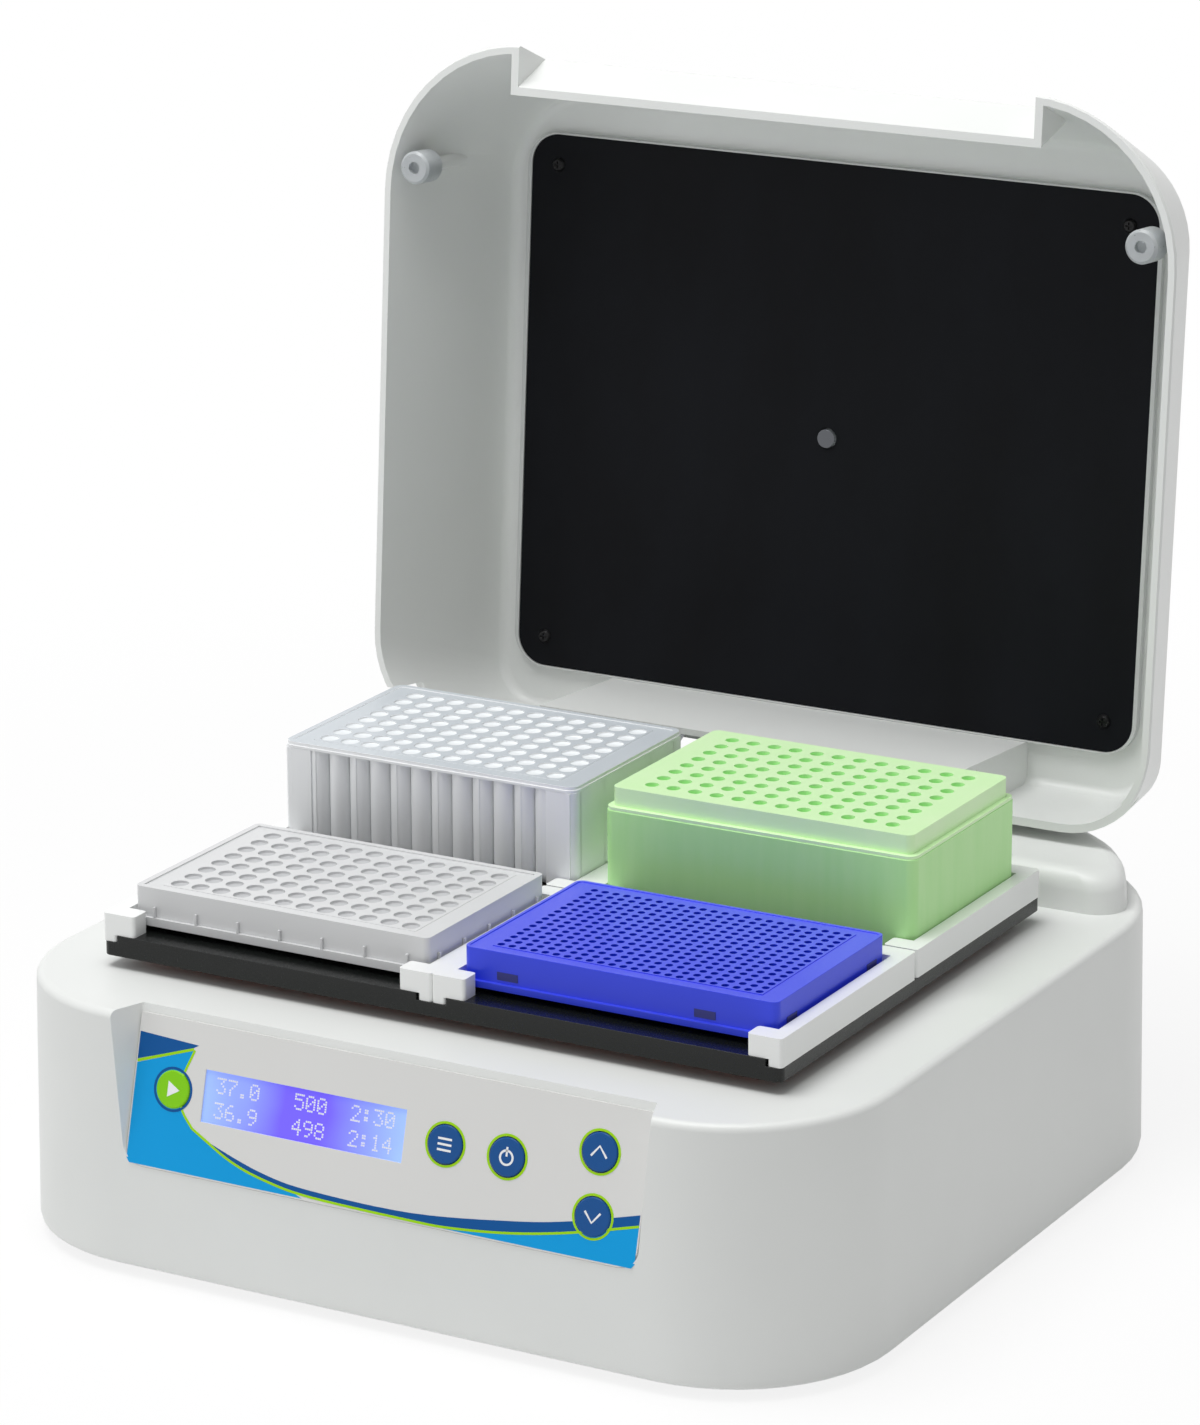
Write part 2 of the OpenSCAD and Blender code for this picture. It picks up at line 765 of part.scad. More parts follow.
module toothed_wheel(bore) {
    flange_r = pulley_r + 1.2;
    teeth = 24;
    difference() {
        union() {
            cylinder(r = pulley_r - belt_t, h = pulley_h);
            for (z = [0, pulley_h - 1.2]) translate([0, 0, z]) cylinder(r = flange_r, h = 1.2);
            for (i = [0:teeth - 1]) rotate([0, 0, 360 / teeth * i])
                block([pulley_r - belt_t - 1, -1, 1], [pulley_r - 0.6, 1, pulley_h - 1]);
        }
        translate([0, 0, -over]) cylinder(r = bore, h = pulley_h + 2 * over);
    }
}

module driven_pulley() {
    color([0.7, 0.71, 0.73]) on_bench() translate([shaft_x, tray_back, pulley_z])
        toothed_wheel(shaft_r + seat);
}

// Half disc opposite the crank pin
module counterweight() {
    hub = 13;
    color([0.5, 0.5, 0.53]) on_bench() translate([shaft_x, tray_back, weight_z]) difference() {
        union() {
            cylinder(r = hub, h = weight_t);
            difference() {
                cylinder(r = weight_r, h = weight_t);
                block([-hub / 2, -weight_r - over, -over], [weight_r + over, weight_r + over, weight_t + over]);
            }
        }
        translate([0, 0, -over]) cylinder(r = shaft_r + seat, h = weight_t + 2 * over);
    }
}

// Motor can on the chassis, with a bore for its own shaft
module drive_motor() {
    h = house_top - chassis_top;
    color([0.2, 0.2, 0.22]) on_bench() translate([shaft_x, tray_back + motor_back, chassis_top])
        difference() {
            union() {
                cylinder(r = motor_r, h = h);
                for (a = [45:90:315]) rotate([0, 0, a]) block([0, -4, 0], [motor_r + 5, 4, 3]);
            }
            translate([0, 0, -over]) cylinder(r = shaft_r - 2 + run_fit, h = h + over - 4);
        }
}

module motor_rotor() {
    r = shaft_r - 2;
    color([0.66, 0.67, 0.7]) on_bench() translate([shaft_x, tray_back + motor_back, 0]) {
        translate([0, 0, pulley_z]) toothed_wheel(r - eps);
        translate([0, 0, pulley_z - 1]) cylinder(r = r, h = house_top - 5 - pulley_z);
    }
}

// Belt round both pulleys, just clear of their teeth
module drive_belt() {
    inner = pulley_r + belt_gap - 0.6;
    module loop(r) {
        translate([0, 0]) circle(r);
        translate([0, motor_back]) circle(r);
        translate([-r, 0]) square([2 * r, motor_back]);
    }
    color([0.1, 0.1, 0.1]) on_bench() translate([shaft_x, tray_back, pulley_z + 1.2 + belt_gap])
        linear_extrude(pulley_h - 2.4 - 2 * belt_gap) difference() {
            loop(inner + belt_t);
            loop(inner);
        }
}

module idler_places() {
    for (x = [-1, 1]) for (y = [-1, 1]) translate([shaft_x + x * idler_x, tray_back + y * idler_y, 0])
        children();
}

module idler_bushings() {
    color([0.72, 0.66, 0.45]) on_bench() idler_places() translate([0, 0, chassis_top]) difference() {
        union() {
            cylinder(r = bush_r, h = house_top - chassis_top);
            cylinder(r = bush_r + 4, h = 4);
        }
        translate([0, 0, 1]) cylinder(r = idler_shaft_r + run_fit, h = house_top);
    }
}

module idler_crank(i) {
    x = i % 2 == 0 ? -1 : 1;
    y = i < 2 ? -1 : 1;
    flange_z = house_top + 0.8;
    flange_t = 2;
    color([0.66, 0.67, 0.7]) on_bench()
        translate([shaft_x + x * idler_x, tray_back + y * idler_y, 0]) {
            translate([0, 0, chassis_top + 1.3]) cylinder(r = idler_shaft_r, h = flange_z - chassis_top - 1.3 + eps);
            translate([0, 0, flange_z]) cylinder(r = idler_shaft_r + 2.5, h = flange_t);
            translate([orbit_r, 0, flange_z + flange_t - eps])
                cylinder(r = idler_pin_r, h = idler_pin_top - 1 - flange_z - flange_t);
        }
}

module tray_plate() {
    color([0.07, 0.07, 0.08]) on_bench() translate([0, tray_back, 0]) difference() {
        union() {
            translate([0, 0, tray_z]) rounded_bar([tray_w, tray_d, tray_t], tray_edge_r);
            translate([0, 0, hub_z]) cylinder(r = hub_boss_r, h = tray_z - hub_z + over);
            for (x = [-1, 1]) for (y = [-1, 1])
                translate([x * idler_x, y * idler_y, idler_boss_z])
                    cylinder(r = idler_boss_r, h = tray_z - idler_boss_z + over);
        }
        for (x = [-1, 0, 1]) {
            w = x == 0 ? rebate_w * 2 : rebate_w + over;
            translate([x * (column_pitch - rebate_w / 2 + over / 2) - w / 2, -row_pitch - over, tray_top - rebate])
                cube([w, tray_d + 2 * over, rebate + over]);
        }
        translate([0, 0, hub_z - over]) cylinder(r = hub_r + seat, h = hub_top - hub_z + over);
        for (x = [-1, 1]) for (y = [-1, 1])
            translate([x * idler_x, y * idler_y, idler_boss_z - over])
                cylinder(r = idler_pin_r + run_fit, h = idler_pin_top - idler_boss_z + over);
    }
}

module tray_heater_mat() {
    inset = 8;
    color([0.75, 0.3, 0.15]) on_bench() translate([0, tray_back, mat_z]) linear_extrude(mat_t)
        difference() {
            rounded_rect(tray_w - 2 * inset, tray_d - 2 * inset, 6);
            circle(hub_boss_r + slack);
            for (x = [-1, 1]) for (y = [-1, 1]) translate([x * idler_x, y * idler_y])
                circle(idler_boss_r + slack);
        }
}

module hub_bearing() {
    color([0.8, 0.8, 0.82]) on_bench() translate([0, tray_back, hub_z])
        bearing_ring(crank_r + run_fit, hub_r, hub_top - hub_z);
}

// One rail of a plate place: side -1 is its left rail, side 1 its right rail
module holder_rail(i) {
    p = place_of(floor(i / 2));
    side = i % 2 == 0 ? -1 : 1;
    hook_w = rail_t + hook_reach;
    color([0.9, 0.9, 0.9]) on_bench() translate([p[0], p[1], 0]) scale([side, 1, 1])
        translate([column_pitch / 2, 0, 0]) {
            translate([-rail_t / 2, 0, tray_top - rebate])
                rounded_bar([rail_t, rail_l, rebate + rail_h], rail_r);
            translate([0, 0, tray_top]) {
                block([-rail_t - ledge_w, -hook_y, 0], [-rail_t + eps, hook_y, ledge_h]);
                for (y = [-1, 1]) translate([-hook_w / 2, y * (hook_y + hook_t / 2), 0])
                    rounded_bar([hook_w, hook_t, rail_h], rail_r);
            }
        }
}

// Mains inlet with three blades in an open recess
module power_inlet() {
    w = inlet_w;
    h = inlet_h;
    lip = 2;
    color([0.1, 0.1, 0.1]) on_rear(-inlet_x, inlet_z) {
        difference() {
            union() {
                translate([0, 0, -inlet_depth - inlet_back]) linear_extrude(inlet_depth + inlet_back)
                    square([w, h], center = true);
                linear_extrude(lip) square([w + 2 * bezel_lip, h + 2 * bezel_lip], center = true);
            }
            translate([0, 0, -inlet_depth + lip]) linear_extrude(inlet_depth + over)
                square([w - 3, h - 4], center = true);
        }
        for (p = [[-7, -1.5], [0, 3], [7, -1.5]])
            translate([p[0], p[1], -inlet_depth + lip - eps]) linear_extrude(9.5) square([2, 4], center = true);
    }
}

module switch_bezel() {
    w = switch_w + 2 * bezel_t;
    h = switch_h + 2 * bezel_t;
    color([0.12, 0.12, 0.12]) on_rear(-switch_x, inlet_z) difference() {
        union() {
            translate([0, 0, -12]) linear_extrude(12) square([w, h], center = true);
            linear_extrude(bezel_t) square([w + 2 * bezel_lip, h + 2 * bezel_lip], center = true);
        }
        translate([0, 0, -10]) linear_extrude(14) square([switch_w, switch_h], center = true);
        translate([-w, 0, -2]) rotate([0, 90, 0]) cylinder(r = 1.05, h = 2 * w);
    }
}

// Rocker that turns about a cross pin in its bezel
module rocker_switch() {
    gap = 0.4;
    hh = switch_h / 2 - gap - 1.1;
    color([0.15, 0.15, 0.15]) on_rear(-switch_x, inlet_z) {
        translate([-(switch_w / 2 - gap), 0, -2]) rotate([0, 90, 0]) rotate([0, 0, 90])
            linear_extrude(switch_w - 2 * gap)
                polygon([[-hh, 2.6], [0, 1.2], [hh, 5.4], [hh - 2.4, -2], [0, -4.4], [-hh + 2.4, -3]]);
        translate([-switch_w / 2 - bezel_t + 0.2, 0, -2]) rotate([0, 90, 0])
            cylinder(r = 1, h = switch_w + 2 * bezel_t - 0.4);
    }
}

module fuse_drawer() {
    depth = 14;
    face_t = 1.6;
    lip = 1.5;
    grip = [fuse_w - 6, 2, 1.2];
    color([0.12, 0.12, 0.12]) on_rear(-fuse_x, inlet_z) {
        translate([0, 0, -depth]) linear_extrude(depth) square([fuse_w, fuse_h], center = true);
        linear_extrude(face_t) square([fuse_w + 2 * lip, fuse_h + 2 * lip], center = true);
        translate([0, fuse_h / 2 - grip[1], face_t - eps + grip[2] / 2]) cube(grip, center = true);
    }
}

// Sheet brackets under the platform, each with two ears through its slot
module hinge_brackets() {
    top = platform_z - wall;
    drop = hinge_z - top + bracket_t;
    color([0.72, 0.73, 0.75]) on_bench() for (s = [-1, 1]) translate([s * hinge_x, 0, 0]) difference() {
        union() {
            block([-bracket_hw, bracket_y[0], top - bracket_t], [bracket_hw, bracket_y[1], top]);
            for (x = [-1, 1]) translate([x * (ear_out - ear_t / 2) - ear_t / 2, hinge_y, hinge_z])
                rotate([90, 0, 90]) linear_extrude(ear_t) {
                    circle(ear_r);
                    translate([-ear_r, eps - drop]) square([2 * ear_r, drop]);
                }
        }
        block([-arm_w / 2 - ear_gap, bracket_window[0], top - bracket_t - over],
            [arm_w / 2 + ear_gap, bracket_window[1], top + ear_r + over]);
        translate([-ear_out - 2 * pin_head_t, hinge_y, hinge_z]) rotate([0, 90, 0])
            cylinder(r = pin_r + seat, h = 2 * ear_out + 4 * pin_head_t);
        for (x = [-1, 1]) translate([x * (ear_out + pin_head_t), hinge_y, hinge_z]) rotate([0, 90, 0])
            cylinder(r = pin_head_r + slack, h = 2 * pin_head_t, center = true);
    }
}

module hinge_pins() {
    out = ear_out + pin_head_gap;
    color([0.8, 0.8, 0.82]) on_bench() for (s = [-1, 1])
        translate([s * hinge_x, hinge_y, hinge_z]) rotate([0, 90, 0]) {
            cylinder(r = pin_r, h = 2 * out + pin_head_t, center = true);
            for (x = [-out - pin_head_t, out]) translate([0, 0, x]) cylinder(r = pin_head_r, h = pin_head_t);
        }
}

// Cut in front of the scoop's ramp; grow gives the moulding behind it
module scoop_prism(grow) {
    up = scoop_h + grow;
    top_in = lid_lean * scoop_h + grow;
    translate([-scoop_hw - grow, 0, 0]) rotate([90, 0, 90]) linear_extrude(2 * (scoop_hw + grow))
        polygon([[lid_front - 20, rim_z - over - 1], [lid_front + scoop_depth + grow, rim_z - over - 1],
            [lid_front + scoop_depth + grow, rim_z], [lid_front + top_in, rim_z + up],
            [lid_front - 20, rim_z + up]]);
}

module lid_outer() {
    r = lid_edge_r;
    run0 = lid_knee * lid_lean;
    loft(concat([[lid_pts(0.8, 0.5), rim_z], [lid_pts(0.3, 0), rim_z + 1]],
        [for (i = [0:edge_steps + 2]) let (a = lean_angle + (90 - lean_angle) * i / (edge_steps + 2))
            [lid_pts(run0 + r * (cos(lean_angle) - cos(a)), 1.5 + r * (1 - cos(a)) * 0.8),
                lid_top - r * (1 - sin(a))]]));
}

module lid_inner() {
    r = ceiling_r;
    rise = r * (1 - sin(lean_angle));
    knee = ceiling_z - rise - rim_z;
    side = lid_wall / cos(lean_angle);
    run0 = knee * lid_lean + side;
    loft(concat([[lid_pts(side - lid_lean * 2, lid_wall), rim_z - 2]],
        [for (i = [0:edge_steps + 1]) let (a = lean_angle + (90 - lean_angle) * i / (edge_steps + 1))
            [lid_pts(run0 + r * (cos(lean_angle) - cos(a)), lid_wall + 1.5 + r * (1 - cos(a)) * 0.8),
                ceiling_z - r * (1 - sin(a))]]));
}

module bumper_places() {
    mirrored_x() translate([bumper_at[0], bumper_at[1], deck_z + slack]) children();
}

module lid_shell() {
    color([0.88, 0.88, 0.87]) on_lid() difference() {
        lid_outer();
        difference() {
            lid_inner();
            scoop_prism(lid_wall);
            block([-pocket_hw, pocket_front, rim_z], [pocket_hw, lid_rear + over, lid_top]);
            bumper_places() cylinder(r = bumper_post_r, h = lid_depth);
        }
        scoop_prism(0);
        block([-lid_hw - over, rear_step_y, rim_z - 3], [lid_hw + over, lid_rear + 5, rear_step_z]);
        block([-pocket_hw + pocket_wall, pocket_back, rim_z - 3],
            [pocket_hw - pocket_wall, lid_rear + 5, ceiling_z - 2]);
        bumper_places() translate([0, 0, -2]) cylinder(r = bumper_post_r + over, h = 4 + 2);
    }
}

// Arms that hook round the pins, each with a flange on the pocket's wall
module lid_hinge_arms() {
    z0 = arm_flange_z[0];
    z1 = arm_flange_z[1];
    y0 = pocket_back;
    y1 = pocket_back + arm_flange_t;
    color([0.72, 0.73, 0.75]) on_lid() for (s = [-1, 1]) translate([s * hinge_x, 0, 0]) {
        block([-arm_flange_w / 2, y0, z0], [arm_flange_w / 2, y1, z1]);
        difference() {
            rotate([90, 0, 90]) translate([0, 0, -arm_w / 2]) linear_extrude(arm_w) {
                translate([hinge_y, hinge_z]) circle(barrel_r);
                polygon([[y1 - eps, z0], [hinge_y - 4.6, hinge_z + 4.6], [hinge_y + 4, hinge_z + 5.1],
                    [hinge_y - 12, hinge_z + 23], [y1 - eps, z1]]);
            }
            translate([-arm_w, hinge_y, hinge_z]) rotate([0, 90, 0]) cylinder(r = pin_r + run_fit, h = 2 * arm_w);
        }
    }
}

module heater_screw_places() {
    inset = 12;
    mid = heater_front + heater_d / 2;
    for (x = [-1, 1]) for (y = [-1, 1])
        translate([x * (heater_w / 2 - inset), mid + y * (heater_d / 2 - inset), heater_z]) children();
}

module lid_heater_plate() {
    color([0.05, 0.05, 0.06]) on_lid() difference() {
        translate([0, heater_front + heater_d / 2, heater_z])
            rounded_bar([heater_w, heater_d, heater_t], heater_corner);
        heater_screw_places() translate([0, 0, -over]) cylinder(r = 1.6, h = heater_t + 2 * over);
        translate([0, heater_front + heater_d / 2, heater_z - over]) cylinder(r = 3.1, h = heater_t + 2 * over);
    }
}

module heater_plate_trim() {
    w = heater_w + 2 * trim_gap;
    d = heater_d + 2 * trim_gap;
    color([0.8, 0.8, 0.8]) on_lid() translate([0, heater_front + heater_d / 2, heater_z - 0.4])
        linear_extrude(heater_t + 0.4) difference() {
            rounded_rect(w + 2 * trim_w, d + min(2 * trim_w, 1.4), heater_corner + trim_gap + trim_w);
            rounded_rect(w, d, heater_corner + trim_gap);
        }
}

module lid_plate_screws() {
    color([0.06, 0.06, 0.06]) on_lid() heater_screw_places() difference() {
        union() {
            translate([0, 0, -1.4]) cylinder(r1 = 2, r2 = 2.9, h = 1.4);
            translate([0, 0, -eps]) cylinder(r = 1.5, h = heater_t);
        }
        for (a = [0, 90]) rotate([0, 0, a]) block([-1.4, -0.3, -2], [1.4, 0.3, -0.7]);
    }
}

module lid_sensor() {
    color([0.75, 0.75, 0.78]) on_lid() translate([0, heater_front + heater_d / 2, heater_z]) {
        translate([0, 0, -1.2]) cylinder(r1 = 3.6, r2 = 4.5, h = 1.2);
        translate([0, 0, -eps]) cylinder(r = 3, h = heater_t);
    }
}

module lid_bumpers() {
    color([0.85, 0.86, 0.86]) on_lid() bumper_places() difference() {
        union() {
            translate([0, 0, 1]) cylinder(r = bumper_r, h = bumper_h - 2);
            cylinder(r1 = bumper_r - 1, r2 = bumper_r, h = 1);
            translate([0, 0, bumper_h - 1 - eps]) cylinder(r1 = bumper_r, r2 = bumper_r - 1.5, h = 1);
        }
        translate([0, 0, 4]) cylinder(r = bumper_post_r + seat, h = bumper_h);
        translate([0, 0, -over]) cylinder(r = 2.4, h = over + 2.5);
    }
}

// Footprint with a cut corner, as microplates have
module plate_plan(inset, cut) {
    l = plate_l / 2 - inset;
    d = plate_d / 2 - inset;
    r = 3;
    difference() {
        rounded_rect(2 * l, 2 * d, r);
        translate([-l, -d]) rotate([0, 0, 45]) square([2 * cut, 2 * cut], center = true);
        translate([-l, d]) rotate([0, 0, 45]) square([2 * cut, 2 * cut], center = true);
    }
}

module well_grid(columns, rows, pitch) {
    for (i = [0:columns - 1]) for (j = [0:rows - 1])
        translate([(i - (columns - 1) / 2) * pitch, (j - (rows - 1) / 2) * pitch]) children();
}

module at_place(i) {
    p = place_of(i);
    on_bench() translate([p[0], p[1], seat_z]) children();
}

// 96-well plate: a flange, a body stepped in from it and round wells
module low_plate() {
    flange_h = 5;
    well_r = 3.4;
    floor_t = 3;
    color([0.8, 0.8, 0.8]) at_place(0) {
        linear_extrude(flange_h) plate_plan(0, 1.5);
        translate([0, 0, flange_h - eps]) linear_extrude(low_h - flange_h + eps) difference() {
            plate_plan(2, 1.5);
            well_grid(12, 8, well_pitch) circle(well_r, $fn = 24);
        }
    }
}

// 384-well plate with square wells
module small_well_plate() {
    flange_h = 5;
    well_w = 2.9;
    color([0.15, 0.25, 0.9]) at_place(1) {
        linear_extrude(flange_h) plate_plan(0, 1.5);
        translate([0, 0, flange_h - eps]) linear_extrude(low_h - flange_h + eps) difference() {
            plate_plan(1.8, 1.5);
            well_grid(24, 16, well_pitch / 2) square(well_w, center = true);
        }
    }
}

// Deep-well plate: round tubes hung from a deck, with ribs and corner walls round them
module deep_well_plate() {
    tube_r = 4.55;
    bore_r = 3.6;
    deck_t = 3.5;
    skin = 0.9;
    end_h = 2.4;
    floor_z = 3.5;
    corner = 13;
    hx = plate_l / 2;
    hy = plate_d / 2;
    lip = 0.4;
    under = deep_h - deck_t;
    module edge_tubes() {
        for (i = [0:11]) for (j = [0, 7]) translate([(i - 5.5) * well_pitch, (j - 3.5) * well_pitch]) children();
        for (i = [0, 11]) for (j = [1:6]) translate([(i - 5.5) * well_pitch, (j - 3.5) * well_pitch]) children();
    }
    module ribs() {
        for (i = [-2:2]) translate([2 * i * well_pitch, 0]) square([skin, 2 * (hy - lip)], center = true);
        for (j = [-1:1]) translate([0, 2 * j * well_pitch]) square([2 * (hx - lip), skin], center = true);
        for (x = [-1, 1]) for (y = [-1, 1]) scale([x, y]) {
            translate([hx - corner, hy - lip - skin]) square([corner - 3, skin]);
            translate([hx - lip - skin, hy - corner]) square([skin, corner - 3]);
        }
    }
    module field() {
        square([11 * well_pitch + 2, 7 * well_pitch + 2], center = true);
        edge_tubes() circle(tube_r, $fn = 24);
        ribs();
    }
    color([0.8, 0.83, 0.86]) at_place(2) {
        linear_extrude(1 + eps) ribs();
        translate([0, 0, 1]) linear_extrude(floor_z - 1) union() {
            ribs();
            square([11 * well_pitch + 2, 7 * well_pitch + 2], center = true);
        }
        translate([0, 0, floor_z - end_h]) edge_tubes() cylinder(r1 = 2.6, r2 = tube_r, h = end_h + eps, $fn = 24);
        translate([0, 0, floor_z]) linear_extrude(under - floor_z) difference() {
            field();
            well_grid(12, 8, well_pitch) circle(bore_r, $fn = 24);
        }
        translate([0, 0, under - eps]) linear_extrude(deck_t + eps) difference() {
            plate_plan(0, 1.5);
            well_grid(12, 8, well_pitch) circle(bore_r, $fn = 24);
        }
    }
}

// Open-topped box of the tube rack
module tube_rack_base() {
    skin = 1.8;
    h = rack_h - rack_step;
    color([0.6, 0.9, 0.55]) at_place(3) difference() {
        linear_extrude(h) rounded_rect(plate_l, plate_d, 4);
        translate([0, 0, skin]) linear_extrude(h) rounded_rect(plate_l - 2 * skin, plate_d - 2 * skin, 4 - skin);
    }
}

// Perforated deck that plugs into the rack's box
module tube_rack_deck() {
    skin = 1.8;
    hole_r = 2.6;
    top_t = 2;
    inset = 2.2;
    color([0.7, 0.98, 0.6]) at_place(3) translate([0, 0, rack_h - rack_step]) {
        translate([0, 0, rack_step - top_t]) linear_extrude(top_t) difference() {
            rounded_rect(plate_l - 2 * inset, plate_d - 2 * inset, 3);
            well_grid(12, 8, well_pitch) circle(hole_r, $fn = 24);
        }
        linear_extrude(rack_step - top_t + eps) difference() {
            rounded_rect(plate_l - 2 * inset, plate_d - 2 * inset, 3);
            rounded_rect(plate_l - 2 * inset - 2 * skin, plate_d - 2 * inset - 2 * skin, 2);
        }
        linear_extrude(1.2) difference() {
            rounded_rect(plate_l - 0.6, plate_d - 0.6, 3.8);
            rounded_rect(plate_l - 2 * inset - eps, plate_d - 2 * inset - eps, 3);
        }
    }
}

upper_housing();
bottom_pan();
feet();
pan_screws();
panel_overlay();
lcd_module();
start_button();
set_button();
off_button();
up_button();
down_button();
control_board();
power_supply();
chassis_plate();
chassis_posts();
bearing_housing();
shaft_bearings();
eccentric_shaft();
driven_pulley();
counterweight();
drive_motor();
motor_rotor();
drive_belt();
idler_bushings();
for (i = [0:3]) idler_crank(i);
tray_plate();
tray_heater_mat();
hub_bearing();
for (i = [0:7]) holder_rail(i);
power_inlet();
rocker_switch();
switch_bezel();
fuse_drawer();
hinge_brackets();
hinge_pins();
lid_shell();
lid_hinge_arms();
lid_heater_plate();
heater_plate_trim();
lid_plate_screws();
lid_sensor();
lid_bumpers();
low_plate();
small_well_plate();
deep_well_plate();
tube_rack_base();
tube_rack_deck();
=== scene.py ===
"""Looks of a heated four-place microplate incubator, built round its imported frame."""
import json
import math

import bpy
from mathutils import Euler, Matrix, Vector, geometry

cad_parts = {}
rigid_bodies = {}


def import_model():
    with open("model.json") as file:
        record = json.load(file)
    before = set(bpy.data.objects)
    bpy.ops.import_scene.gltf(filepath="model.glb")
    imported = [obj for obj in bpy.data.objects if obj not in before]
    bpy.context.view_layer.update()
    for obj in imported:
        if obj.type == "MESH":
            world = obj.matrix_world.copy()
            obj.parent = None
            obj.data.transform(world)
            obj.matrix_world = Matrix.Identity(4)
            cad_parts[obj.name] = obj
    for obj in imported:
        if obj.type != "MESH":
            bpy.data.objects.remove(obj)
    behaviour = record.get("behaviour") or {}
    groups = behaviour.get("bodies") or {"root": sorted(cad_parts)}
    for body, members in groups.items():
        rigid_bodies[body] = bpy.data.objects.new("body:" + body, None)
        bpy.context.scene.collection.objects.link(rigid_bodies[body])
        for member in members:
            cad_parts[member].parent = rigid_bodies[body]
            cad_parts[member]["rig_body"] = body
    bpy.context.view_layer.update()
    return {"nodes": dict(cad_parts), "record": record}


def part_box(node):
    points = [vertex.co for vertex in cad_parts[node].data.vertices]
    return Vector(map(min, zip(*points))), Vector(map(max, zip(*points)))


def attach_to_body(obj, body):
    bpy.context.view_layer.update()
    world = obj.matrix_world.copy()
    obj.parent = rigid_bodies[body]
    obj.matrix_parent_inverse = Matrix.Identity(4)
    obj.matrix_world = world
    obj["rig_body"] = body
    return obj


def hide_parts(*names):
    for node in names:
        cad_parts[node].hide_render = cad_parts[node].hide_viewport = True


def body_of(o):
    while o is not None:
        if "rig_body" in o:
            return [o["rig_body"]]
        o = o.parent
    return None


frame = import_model()

bl_info = {
    "name": "Microplate incubator",
    "version": (1, 0, 0),
    "blender": (4, 5, 0),
    "location": "3D View > Sidebar > Incubator",
    "description": "Dresses a four-place microplate incubator with its finishes, studio and camera",
    "category": "Object",
}

MM = 0.001

# Faces that meet at less than this many degrees are shaded as one
SMOOTH_ANGLE = 35

# Radii on moulded and cut edges that the sizes below don't set
FINE_EDGE = 0.1 * MM
KEY_EDGE = 0.35 * MM
RAIL_EDGE = 0.9 * MM
RACK_EDGE = 0.5 * MM
DECK_EDGE = 0.4 * MM

# Panel frame: origin at the foot of the recess floor, u to the right, v up the slope, w outwards
PANEL_FOOT = Vector((0, -180.149, 44)) * MM
PANEL = Matrix.Translation(PANEL_FOOT) @ Euler((math.radians(90 - 14.5), 0, 0)).to_matrix().to_4x4()
FILM_TOP = 0.8
KEY_TOP = 1.4
KEY_RADIUS = 7.0
INK_DEPTH = 0.05
KEYS = {"start_button": (-88.3, 30), "set_button": (25.4, 30.2), "off_button": (50.4, 30.2),
        "up_button": (86.3, 38.4), "down_button": (86.5, 15.7)}

# Standard plates: the pitch of their wells and the half sides of the field that the wells fill
WELL_PITCH = 9
SMALL_WELL_PITCH = 4.5
FIELD = (54, 36)

# The photograph's viewpoint in metres and degrees, then its height, focal length and lens offset in pixels
CAMERA_AT = (0.9661, -1.7351, 0.7866)
CAMERA_TURN = (73.06, 0.26, 29.35)
PHOTO_HEIGHT = 1425
FOCAL = 5583
OFF_AXIS = (8, -1.5)
SENSOR = 36

# Studio: each soft box's place and side in metres and its watts, the surround's level, and the floor's own
# glow, which grows to full white between two distances in metres
LAMPS = {"overhead": ((-0.25, -0.35, 2.1), 1.2, 32.0), "left": ((-1.8, -1.2, 0.9), 1.0, 5.0)}
LAMP_AIM = Vector((0, 0, 0.15))
SURROUND = 0.36
FLOOR_GLOW = 0.86
GLOW_FROM, GLOW_TO = 0.3, 0.9

# Display window and its dot characters, in panel millimetres
WINDOW = (-33.5, 30.0)
COLUMNS = 16
DOT_COLUMNS, DOT_ROWS = 5, 7
LETTER_STEP = 4.7
DOT_STEP = (0.8, 0.86)
DOT_SIZE = 0.66
# Height of each line's middle on the panel, and what it shows
LINES = {34.6: "37.0   500  2:30", 25.6: "36.9   498  2:14"}
# Each character's rows of dots from the top, two hex digits a row
DOTS = {"0": "0E11131519110E", "1": "040C040404040E", "2": "0E11010204081F", "3": "1F02040201110E",
        "4": "02060A121F0202", "5": "1F101E0101110E", "6": "0608101E11110E", "7": "1F010204080808",
        "8": "0E11110E11110E", "9": "0E11110F01020C", ".": "00000000000C0C", ":": "000C0C000C0C00"}


class IncubatorSizes(bpy.types.PropertyGroup):
    """Sizes that a maker would change."""
    casing_edge: bpy.props.FloatProperty(
        name="Casing edge", description="Radius on the casing's moulded edges", default=0.5 * MM,
        min=0.1 * MM, max=2 * MM, unit="LENGTH")
    part_edge: bpy.props.FloatProperty(
        name="Part edge", description="Radius on the edges of small machined parts", default=0.25 * MM,
        min=0.05 * MM, max=1 * MM, unit="LENGTH")


